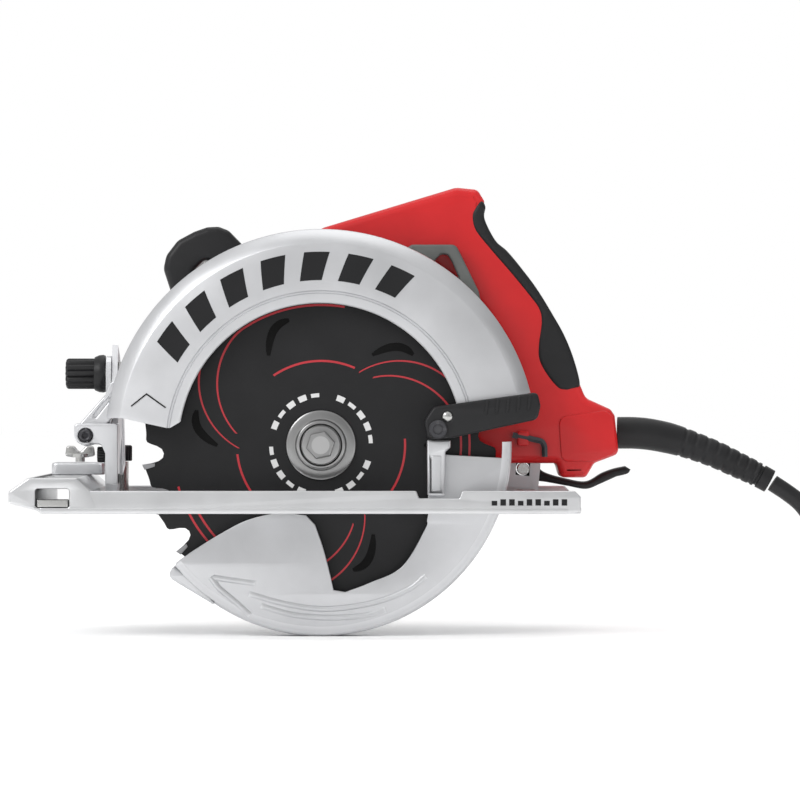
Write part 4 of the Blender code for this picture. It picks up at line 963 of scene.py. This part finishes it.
@dataclass
class BevelParts:
    """The bevel knob, the tilting bracket's clevis and the pivot pin's head."""

    knob: tuple[float, float] = (26.0, 70.9)        # Y and Z
    pivot: tuple[float, float] = (-120, 39.2)       # X and Z of the depth pivot
    hinge_z: float = 4.5
    hinge_bore: float = 2.4

    def dress(self) -> None:
        """Makes the pieces at the front of the saw."""
        knob = plate(lobed(*self.knob, 7.9, 1.3, 12), -132.4, -116.5, Axis.X, ends=(1.6, 0.4), steps=5)
        turned([(3.4, -117.5), (8.6, -117.5), (9.6, -115.2), (9.8, -113.0), (9.4, -112.0), (3.4, -112.0)],
               self.knob, Axis.X, steps=64, closed=True, shape=knob)
        place(knob, "bevel_knob_grip", BLACK, Body.KNOB, "bevel_knob")
        pin = turned([(0, -7.0), (1.5, -7.0), (1.6, -8.7), (2.3, -9.1), (2.9, -8.7), (3.3, -8.0), (3.3, 8.3),
                      (0, 8.3)], self.pivot, steps=40)
        place(pin, "depth_pin", DARK_STEEL, Body.TILT, "depth_pivot_pin", slot="bright_steel")
        nut = plate(lobed(0, 29.4, 4.1, 0.5, 14), -114.4, -109.8, Axis.X, ends=(0.6, 0.5))
        place(nut, "tilt_stop_nut", BLACK, Body.TILT)
        cheek = rounded([(-125.8, 34.8), (-112, 34.6), (-110, 30), (-110, 14), (-103.5, 14), (-103.5, 45.4),
                         (-125.8, 45.4)], [5.5, 2, 1, 1, 1, 1.4, 2.4])
        shape = Shape()
        for y0, y1 in ((-7.4, -4.4), (4.4, 7.4)):
            plate(cheek, y0, y1, holes=[circle(*self.pivot, 3.6, 32)], ends=(0.8, 0.8), shape=shape)
        plate(rounded(rect(-106.4, 14, -103.5, 45.4), 0.6), -4.5, 4.5, ends=(0, 0), shape=shape)
        lug = rounded([(-5, 0.9), (5, 0.9), (7.0, 14), (7.0, 20), (-7.0, 20), (-7.0, 14)],
                      [2.4, 2.4, 2, 1, 1, 2])
        plate(lug, -110, -103.5, Axis.X, holes=[circle(0, self.hinge_z, self.hinge_bore, 24)], shape=shape)
        place(shape, "tilt_bracket_casting", CAST, Body.TILT, "tilt_bracket")


# ---------------------------------------------------------------- handles and motor
@dataclass
class RearHandle:
    """The rear handle in two red halves with a soft strip, its trigger and the cast web in front."""

    y0: float = 26.0
    y1: float = 64.0
    split: float = 45.0
    pocket: tuple[float, float] = (39.4, 50.6)      # the trigger pocket's walls
    edge: float = 4.2                               # the halves' rounded edge
    gap: float = 0.12                               # from the split to each half
    strip_proud: float = 0.7
    shell_screws: tuple[tuple[float, float], ...] = (
        (142.6, 42.0), (128.0, 32.0), (24.0, 146.0), (106.0, 52.0), (72.0, 150.0))

    def outline(self) -> Array:
        """The handle from the side."""
        corners = [(80.6, 166.4), (84.2, 160.5), (83.2, 152.0), (86.0, 144.5), (89.4, 139.6), (95.6, 133.6),
                   (103.6, 123.7), (111.0, 113.8), (118.9, 101.0), (124.9, 90.2), (129.7, 78.4),
                   (133.2, 66.6), (136.6, 58.4), (149.5, 52.6), (151.7, 49.4), (153.9, 29.4), (141.1, 24.6),
                   (136.7, 17.1), (123.6, 17.1), (121.3, 24.5), (74, 24.5), (68, 34), (64, 52), (53, 98),
                   (30, 112), (-6, 112), (-6, 138), (-1.3, 146.1), (69.5, 167.5)]
        radii = [4, 3, 8, 6, 5, 8, 12, 12, 12, 12, 12, 10, 6, 4, 3, 4, 4, 3, 3, 2, 6, 4, 8, 8, 10, 4, 6, 8, 9]
        return rounded(corners[::-1], radii[::-1], 8)

    def opening(self) -> Array:
        """The finger opening."""
        return rounded([(44, 114), (62, 99), (72, 74), (82, 64), (95, 66), (98, 76), (93, 89), (82, 105),
                        (67, 119.5), (56, 127), (42, 124)], [5, 12, 8, 6, 6, 8, 20, 20, 8, 6, 5], 8)

    def trigger_slot(self) -> Array:
        """The opening with the trigger's pocket, for the layers between the pocket's walls."""
        return rounded([(44, 114), (62, 99), (72, 74), (82, 64), (95, 66), (98, 76), (93, 89), (86.6, 100.2),
                        (86.6, 123.0), (63.4, 123.0), (56, 127), (42, 124)],
                       [5, 12, 8, 6, 6, 8, 6, 2, 2, 1, 6, 5], 8)

    def overmold(self) -> Array:
        """The soft strip's outline: the grip's back edge out, and the strip's inner edge back."""
        back = spline([(81.4, 160.2), (83.2, 160.2), (84.7, 157.2), (84.3, 151.0), (89.8, 140.1),
                       (96.2, 134.2), (104.3, 124.4), (111.7, 114.4), (119.6, 101.5), (125.6, 90.7),
                       (130.4, 78.7), (133.6, 66.0), (131.4, 62.8)], 8)
        inner = spline([(127.0, 61.6), (122.0, 62.8), (116.0, 69.7), (111.8, 77.6), (111.3, 85.6),
                        (112.8, 97.5), (111.6, 104.2), (107.0, 110.6), (97.5, 122.2), (85.5, 136.1),
                        (78.6, 145.2), (77.1, 153.0), (79.4, 158.2)], 8)
        return np.vstack([back, inner])

    def dress(self) -> None:
        """Makes the halves and their screws, the boss, strip, web, trigger and stored key."""
        side, hole, slot = self.outline(), self.opening(), self.trigger_slot()
        near, far = self.pocket
        left = plate(side, self.y0, near, holes=[hole], ends=(self.edge, 0), steps=7)
        plate(side, near, self.split - self.gap, holes=[slot], ends=(0, 0.4), shape=left)
        place(left, "rear_handle_left", RED, Body.HEAD, "handle_shell_left", smooth=50)
        right = plate(side, self.split + self.gap, far, holes=[slot], ends=(0.4, 0))
        plate(side, far, self.y1, holes=[hole], ends=(0, self.edge), steps=7, shape=right)
        place(right, "rear_handle_right", RED, Body.HEAD, "handle_shell_right", smooth=50)
        boss = rounded([(122.5, 48.5), (146.8, 52.0), (150.6, 48.6), (152.6, 30.2), (141.6, 25.6),
                        (124.0, 25.4)], [5, 4, 3, 4, 4, 4], 8)
        place(plate(boss, self.y0 - self.strip_proud, self.y0 + 2, ends=(0.6, 0.5)), "cord_end_boss", RED,
              Body.HEAD)
        strip = plate(self.overmold(), self.y0 - self.strip_proud, self.y1 + self.strip_proud,
                      ends=(2.8, 2.8), steps=7)
        place(strip, "grip_soft_strip", RUBBER, Body.HEAD, "grip_overmold", smooth=50)
        web = rounded([(46.5, 137.4), (69.2, 137.4), (81.0, 113.4), (86.8, 84.0), (85.0, 78.0), (70, 82),
                       (58, 102), (40, 120), (40, 133)], [2, 4, 8, 4, 3, 4, 6, 3, 3])
        drop = rounded([(57.8, 128.6), (61.4, 132.4), (65.0, 132.2), (67.3, 128.4), (71.0, 119.6),
                        (66.2, 114.0), (58.6, 121.4)], [3, 2.4, 2.4, 3, 2.5, 3, 3], 8)
        # the web's dark colour is painted shade
        place(plate(web, 14.3, 22.8, holes=[drop], ends=(1.4, 1.0), steps=5), "handle_web", WEB_CAST_PAINTED_SHADE,
              Body.HEAD, "handle_bracket")
        trigger = plate(rounded([(64.4, 115.6), (68.6, 121.5), (78.4, 120.9), (81.0, 104.6), (73.9, 101.2),
                                 (68.2, 103.2), (67.6, 109.2)], [3, 3, 2, 2, 3, 2.4, 6], 8), 40, 50,
                        ends=(2.6, 2.6), steps=6)
        place(trigger, "trigger_paddle", BLACK, Body.TRIGGER, "trigger")
        key = spline(at_depth([(98.7, 39.2), (104, 38.1), (110, 36.8), (113.6, 35.8), (115.0, 33.4),
                               (115.2, 30.6), (115.2, 27.9)], 23.6), 6)
        place(tube(key, 1.7, 6), "stored_hex_key", DARK_STEEL, Body.HEAD, "hex_key", smooth=30)
        clip = plate(rounded(rect(101.0, 33.6, 107.0, 41.4), 1.4), 22.4, 26.4, ends=(0.8, 0))
        place(clip, "key_clip", RED, Body.HEAD)
        far = self.y1
        for i, (x, z) in enumerate(self.shell_screws):
            screw = turned([(0, far - 1.4), (1.5, far - 1.4), (1.7, far - 0.3), (2.9, far - 0.3),
                            (3.1, far - 0.6), (3.1, far - 2.0), (0, far - 2.0)], (x, z), steps=32)
            place(screw, f"shell_screw_{i + 1}", DARK_STEEL, Body.HEAD)


@dataclass
class FrontHandle:
    """The bowed front handle over the gear case."""

    y0: float = 14.4
    y1: float = 40.0

    def dress(self) -> None:
        """Makes the bow with well-rounded sides."""
        bow = rounded([(-63, 88), (-77.4, 112), (-81.6, 124.8), (-80.1, 131.8), (-74.2, 139.5),
                       (-65.6, 144.1), (-59, 146.4), (-53.1, 146.7), (-47.9, 144.7), (-41.4, 138.0),
                       (-30, 112), (-44, 106), (-52, 126), (-60, 130), (-66, 124), (-62, 110), (-52, 92)],
                      [4, 14, 8, 8, 8, 8, 6, 6, 6, 8, 4, 4, 7, 4, 5, 6, 4], 8)
        place(plate(bow, self.y0, self.y1, ends=(3.4, 4.4), steps=7), "front_handle", BLACK, Body.HEAD,
              "aux_handle", smooth=50)


@dataclass
class Motor:
    """The motor's red housing with cooling slots and ribs, and the black end cap with its grille."""

    radius: float = 42.0
    y0: float = 41.3
    y1: float = 110.0
    cap_y: float = 132.0
    bore: float = 38.0
    vents: int = 11
    grille_step: float = 9.0
    grille_radius: tuple[float, float] = (29.0, 30.0)       # the circles that end its slots and its ribs
    screw_circle: float = 36.4

    def dress(self) -> None:
        """Makes the housing with its vents, and the end cap with its screws."""
        r, c = self.radius, Datum.middle("armature_shaft")
        profile = [(self.bore, self.y0), (r - 0.8, self.y0), (r, self.y0 + 0.8), (r, 60)]
        for y in np.arange(62.0, 100.0, 6.0):
            profile += [(r, y), (r - 1.1, y + 0.8), (r - 1.1, y + 2.2), (r, y + 3.0)]
        profile += [(r, self.y1 - 0.8), (r - 0.8, self.y1), (self.bore, self.y1)]
        shape = turned(profile, c, steps=112, closed=True)
        plate(self.collar(), self.y0, self.y0 + 3.0, ends=(0.4, 1.0), holes=[circle(*c, self.bore)],
              shape=shape)
        place(shape, "motor_case", RED, Body.HEAD, "motor_housing", smooth=35)
        vents = Shape()
        for k in range(self.vents):
            a = math.radians(18 + k * 32)
            path = [(c[0] + (r - 0.3) * math.cos(a), y, c[1] + (r - 0.3) * math.sin(a))
                    for y in (46.0, 49.0, 52.0, 55.0)]
            tube(np.array(path), [1.5, 1.9, 1.9, 1.5], 12, shape=vents)
        place(vents, "motor_vents", BLACK, Body.HEAD)
        y = self.cap_y
        rings = [(33.0, y - 0.2), (35.5, y - 0.8), (38.9, y - 2.8), (41.2, y - 5.8), (r, y - 9.8),
                 (r, self.y1 + 0.9), (r - 0.6, self.y1 + 0.3), (self.bore, self.y1 + 0.3),
                 (self.bore, y - 8.0), (33.0, y - 4.2)]
        cap = turned(rings, c, steps=112, closed=True)
        step = self.grille_step
        slots = [self.bar(c, step * k, math.sqrt(self.grille_radius[0] ** 2 - (step * k) ** 2) - 2.0, 1.9)
                 for k in range(-2, 3)]
        plate(circle(*c, 33.2, 112), y - 4.0, y - 0.2, holes=slots, ends=(0.5, 0.2), shape=cap)
        for u in (step * (k + 0.5) for k in range(-2, 2)):
            plate(self.bar(c, u, math.sqrt(self.grille_radius[1] ** 2 - u ** 2) - 3.0, 0.9), y - 0.5, y,
                  ends=(0.5, 0.2), shape=cap)
        place(cap, "motor_cap", BLACK, Body.HEAD, "motor_end_cap", smooth=35)
        for i in range(4):
            a = math.radians(45 + 90 * i)
            x, z = c[0] + self.screw_circle * math.cos(a), c[1] + self.screw_circle * math.sin(a)
            shape = turned([(0, y - 3.0), (1.2, y - 1.4), (2.6, y - 1.2), (3.0, y - 1.6), (3.0, y - 5.5),
                            (0, y - 5.5)], (x, z), steps=32)
            place(shape, f"cap_screw_{i + 1}", STEEL, Body.HEAD)

    @staticmethod
    def bar(centre: tuple[float, float], across: float, half: float, radius: float) -> Array:
        """An upright slot's outline at a distance from the middle of the cap."""
        x, z = centre[0] + across, centre[1]
        return stadium((x, z - half), (x, z + half), radius)

    @staticmethod
    def collar() -> Array:
        """The flange that meets the gear case."""
        low = arc(0, Datum.arbor_z, 28.6, 185, 335, 30)
        return rounded(np.vstack([low, [(60, 52), (60, 88), (30, 104), (-6, 104), (-28.6, 72)]]),
                       [0] * 31 + [12] * 5)


@dataclass
class DepthLever:
    """The curved lever that locks the depth bracket."""

    y0: float = 71.2
    y1: float = 79.0
    heel: float = 7.4
    bore: float = 3.6

    def dress(self) -> None:
        """Makes the lever about its bolt."""
        bx, bz = Datum.middle("depth_lock_bolt")
        top = spline([(bx - 2, bz + 7.4), (bx + 6, bz + 4.6), (116, 19.6), (128.5, 15.8), (138.8, 14.4),
                      (146.7, 18.6), (153, 21.0), (159.4, 22.4)], 8)
        end = spline([(162.3, 20.6), (160.6, 18.4), (154.6, 16.8)], 5)
        under = spline([(146.7, 13.2), (138.8, 10.3), (128.5, 12.0), (116, 14.2), (bx + 4, bz - 6.6),
                        (bx - 3, bz - 7.2)], 8)
        heel = arc(bx, bz, self.heel, 250, 110, 10)[1:-1]
        shape = plate(np.vstack([top, end, under, heel]), self.y0, self.y1,
                      holes=[circle(bx, bz, self.bore, 32)], ends=(1.8, 2.4), steps=5)
        place(shape, "depth_lever_grip", BLACK, Body.LEVER, "depth_lock_lever", smooth=50)


@dataclass
class LockButton:
    """The spindle lock's push button."""

    centre: tuple[float, float] = (-38, 66)

    def dress(self) -> None:
        """Makes the domed button."""
        shape = turned([(0, 24), (3.6, 23.9), (4.9, 23.3), (5.5, 22.0), (5.5, 13.2), (0, 13.2)], self.centre,
                       steps=48)
        place(shape, "spindle_button", BLACK, Body.LOCK, "spindle_lock_button")


# ---------------------------------------------------------------- cord
@dataclass
class MainsCord:
    """The boot, the cord from it to its coil on the floor, and the plug on the coil.

    The route's points are given; the coil's turns are worked out layer by layer.
    """

    diameter: float = 9.0
    coil: tuple[float, float] = (342.0, 45.0)
    turns: tuple[tuple[float, float], ...] = (      # each turn's radius, and its height over the floor
        (59.0, 4.6), (49.9, 4.6), (40.8, 4.6), (45.3, 12.5), (54.4, 12.5), (49.9, 20.4), (49.9, 29.6))
    last_turn: float = 0.04         # share of the last turn that is run
    rise: tuple[tuple[float, float, float], ...] = (
        (370.0, 1.4, -32.6), (380.6, 7.6, -30.8), (387.8, 15.0, -29.0), (391.2, 20.6, -27.8),
        (392.0, 24.6, -27.3))
    route: tuple[tuple[float, float, float], ...] = (
        (234.9, 45.0, 14.0), (243.0, 45.0, 8.6), (249.8, 45.0, 3.0), (255.6, 45.0, -5.0),
        (260.2, 45.0, -15.0), (264.2, 44.6, -26.0), (267.4, 42.6, -37.0), (270.4, 38.0, -46.6),
        (273.6, 29.8, -54.2), (277.6, 18.4, -57.8), (283.2, 6.4, -58.6), (291.0, -4.4, -58.6),
        (299.4, -11.0, -58.6), (306.0, -14.0, -58.6), (318.0, -13.8, -58.6), (330.0, -14.0, -58.6))
    steps: int = 40                 # points on a turn
    ease_from: float = 0.62         # share of a turn after which it eases to the next

    def coil_points(self) -> Array:
        """The turns: each keeps its radius and height, and eases to the next one's over its last third."""
        cx, cy = self.coil
        out = []
        for i, (r, h) in enumerate(self.turns):
            last = i + 1 == len(self.turns)
            next_r, next_h = (r, h) if last else self.turns[i + 1]
            t = np.arange(self.steps) / self.steps
            if last:
                t = t[t < self.last_turn]
            ease = np.clip((t - self.ease_from) / (1 - self.ease_from), 0, 1)
            ease = ease * ease * (3 - 2 * ease)
            radius, height = r + (next_r - r) * ease, h + (next_h - h) * ease
            a = np.radians(-90 + 360 * t)
            out.append(np.column_stack([cx + radius * np.cos(a), cy + radius * np.sin(a),
                                        Datum.floor_z + height]))
        return np.vstack(out)

    def centre_line(self) -> Array:
        """Route, coil and the last rise to the plug, on one smooth curve."""
        return spline(np.vstack([self.route, self.coil_points(), self.rise]), 4)

    def cord_curve(self) -> bpy.types.Object:
        """The cord as a curve with one open spline."""
        line = Datum.world(self.centre_line())
        curve = bpy.data.curves.new("mains_cord", "CURVE")
        curve.dimensions = "3D"
        spine = curve.splines.new("POLY")
        spine.points.add(len(line) - 1)
        spine.points.foreach_set("co", np.column_stack([line, np.ones(len(line))]).ravel())
        curve.bevel_depth = self.diameter / 2 * MM
        curve.bevel_resolution = 5
        curve.use_fill_caps = True
        curve.materials.append(JACKET.material())
        obj = bpy.data.objects.new("mains_cord", curve)
        bpy.context.scene.collection.objects.link(obj)
        return obj

    def length(self) -> float:
        """The centre line's length in metres."""
        return float(np.linalg.norm(np.diff(self.centre_line(), axis=0), axis=1).sum() * MM)

    def boot(self) -> Shape:
        """The tapered boot: a bar whose radius falls along it, with grooves over its last two thirds."""
        path = spline(at_depth([(153.9, 40.2), (163, 40.1), (171.9, 39.2), (183, 36.8), (193.9, 33.2),
                                (205, 28.9), (215.8, 23.8), (225, 19.4), (233.4, 14.9)], 45), 24)
        t = np.linspace(0, 1, len(path))
        radius = np.interp(t, [0, 0.2, 0.34, 0.5, 0.75, 0.93, 0.935, 1.0],
                           [8.3, 8.3, 8.1, 7.4, 6.8, 6.3, 6.3, 6.2])
        groove = np.clip(np.sin((t - 0.42) * 2 * np.pi * 16) - 0.25, 0, 1) * ((t > 0.42) & (t < 0.90))
        radius = radius - 0.7 * groove
        radius[(t > 0.905) & (t < 0.925)] -= 0.9
        return tube(path, radius, 40)

    def plug(self) -> tuple[Shape, Shape]:
        """The moulded plug and its two flat blades, lying on the coil."""
        cx, cy = self.coil
        x, z = cx + 50, Datum.floor_z + 27.3
        stations = [(-22.0, 6.0, 6.4, 8.5), (-21.0, 6.4, 6.8, 8.6), (-14, 7.4, 8.0, 9.4),
                    (-9, 10.4, 10.6, 11.6), (-3, 11.6, 11.7, 12.0), (10, 11.8, 11.8, 12.0),
                    (14.6, 11.6, 11.6, 12.0), (16.0, 10.6, 10.8, 12.0)]
        angle = np.linspace(0, 2 * np.pi, 48, endpoint=False)
        smooth = spline(stations, 6)
        power = 0.72
        cosine, sine = np.cos(angle), np.sin(angle)
        sx, sz = np.sign(cosine) * np.abs(cosine) ** power, np.sign(sine) * np.abs(sine) ** power
        grid = np.stack([x + smooth[:, 1:2] * sx[None, :], np.repeat(cy + smooth[:, 0:1], len(angle), axis=1),
                         z + smooth[:, 3:4] + smooth[:, 2:3] * sz[None, :]], axis=-1)
        body = Shape().grid(grid, capped=True)
        blades = Shape()
        for side in (-6.35, 6.35):
            plate(rounded([(cy + 12, z + 8.8), (cy + 32.8, z + 8.8), (cy + 32.8, z + 15.2),
                           (cy + 12, z + 15.2)], [0, 1.6, 1.6, 0]), x + side - 0.75, x + side + 0.75, Axis.X,
                  ends=(0.2, 0.2), shape=blades)
        return body, blades

    def dress(self) -> None:
        boot = place(self.boot(), "cord_boot", RUBBER, Body.HEAD, "strain_relief_boot", smooth=50)
        body, blades = self.plug()
        plug = place(body, "mains_plug", RUBBER, Body.HEAD, "plug", smooth=50)
        pins = place(blades, "plug_blades", BRASS, Body.HEAD)
        cord = self.cord_curve()
        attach(cord, Body.HEAD.value)
        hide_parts("cord", "cord_coil")
        start = Datum.world(np.array(self.route[0]))
        log.info("mains cord: %.3f m", self.length())


# ---------------------------------------------------------------- studio
@dataclass
class Studio:
    """Pale floor, soft lights and the camera level with the saw's blade side."""

    distance: float = 2200.0
    aim: tuple[float, float] = (40.41, 57.3)
    focal_mm: float = 193.5
    sensor_mm: float = 36.0
    floor_half: float = 14.0        # metres
    target: tuple[float, float, float] = (0, 0, 0.1)

    # soft square lights: name, place in metres, side in metres, watts
    LIGHTS = (("key", (-0.75, -0.75, 0.85), 0.55, 6), ("fill", (1.6, -1.2, 0.7), 1.0, 1.6),
              ("top", (0.1, 0.3, 1.9), 1.2, 5), ("back", (0.5, 1.7, 0.9), 1.0, 4))

    def camera(self) -> None:
        """The camera looks along +Y, straight at the blade's side."""
        data = bpy.data.cameras.new("camera")
        data.lens, data.sensor_width = self.focal_mm, self.sensor_mm
        data.clip_end = 40.0
        camera = bpy.data.objects.new("camera", data)
        camera.location = Datum.world(np.array([self.aim[0], -self.distance, self.aim[1]]))
        camera.rotation_euler = (math.pi / 2, 0, 0)
        bpy.context.scene.collection.objects.link(camera)
        bpy.context.scene.camera = camera

    def light(self, name: str, at: Sequence[float], size: float, power: float) -> None:
        """A soft square light that faces the saw."""
        data = bpy.data.lights.new(name, "AREA")
        data.shape, data.size, data.energy = "SQUARE", size, power
        lamp = bpy.data.objects.new(name, data)
        lamp.location = at
        lamp.rotation_euler = (Vector(self.target) - Vector(at)).to_track_quat("-Z", "Y").to_euler()
        bpy.context.scene.collection.objects.link(lamp)

    def floor(self) -> None:
        """A wide pale floor with a faint roughness to it."""
        mesh = bpy.data.meshes.new("floor")
        s = self.floor_half
        mesh.from_pydata([(-s, -s, 0), (s, -s, 0), (s, s, 0), (-s, s, 0)], [], [(0, 1, 2, 3)])
        floor = bpy.data.objects.new("floor", mesh)
        mesh.materials.append(FLOOR.material())
        bpy.context.scene.collection.objects.link(floor)
        floor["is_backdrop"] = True

    def build(self) -> None:
        """Lights and floor."""
        self.world()
        bpy.context.scene.view_settings.view_transform = "Standard"
        for light in self.LIGHTS:
            self.light(*light)
        self.floor()

    @staticmethod
    def world() -> None:
        """A white surround. Polished surfaces see a sky, bright at the upper front and dim low at the
        rear."""
        world = bpy.data.worlds.new("studio")
        world.use_nodes = True
        tree = world.node_tree
        white = tree.nodes["Background"]
        white.inputs["Color"].default_value = (1, 1, 1, 1)
        white.inputs["Strength"].default_value = 1.0
        towards = add_node(tree, "ShaderNodeVectorMath", operation="DOT_PRODUCT")
        towards.inputs[1].default_value = (-0.62, -0.10, 0.78)
        tree.links.new(add_node(tree, "ShaderNodeTexCoord").outputs["Generated"], towards.inputs[0])
        shift = add_node(tree, "ShaderNodeMapRange", {"Value": towards.outputs["Value"], "From Min": -1.0})
        shade = add_ramp(tree, shift.outputs["Result"], (0.22, (0.14, 0.14, 0.145)), (0.72, (1.0, 1.0, 1.0)))
        sky = add_node(tree, "ShaderNodeBackground", {"Color": shade, "Strength": 0.72})
        glossy = add_node(tree, "ShaderNodeLightPath").outputs["Is Glossy Ray"]
        mix = add_node(tree, "ShaderNodeMixShader", {"Fac": glossy})
        tree.links.new(white.outputs["Background"], mix.inputs[1])
        tree.links.new(sky.outputs["Background"], mix.inputs[2])
        tree.links.new(mix.outputs["Shader"], tree.nodes["World Output"].inputs["Surface"])
        bpy.context.scene.world = world


def dress_cad_nodes() -> None:
    """Gives each CAD node whose shape stays its finish."""
    for finish, names in KEPT_NODES.items():
        for name in names:
            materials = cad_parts[name].data.materials
            materials.clear()
            materials.append(finish.material())


def main() -> None:
    """Builds the camera and the cord, then each sub-assembly in turn."""
    logging.basicConfig(level=logging.INFO, format="%(name)s: %(message)s")
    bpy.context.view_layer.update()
    studio = Studio()
    studio.camera()
    MainsCord().dress()
    dress_cad_nodes()
    for assembly in (UpperGuard, LowerGuard, Blade, Foot, BevelParts, RearHandle, FrontHandle, Motor,
                     DepthLever, LockButton):
        log.info("building %s", assembly.__name__)
        assembly().dress()
    studio.build()


if __name__ == "__main__":
    main()
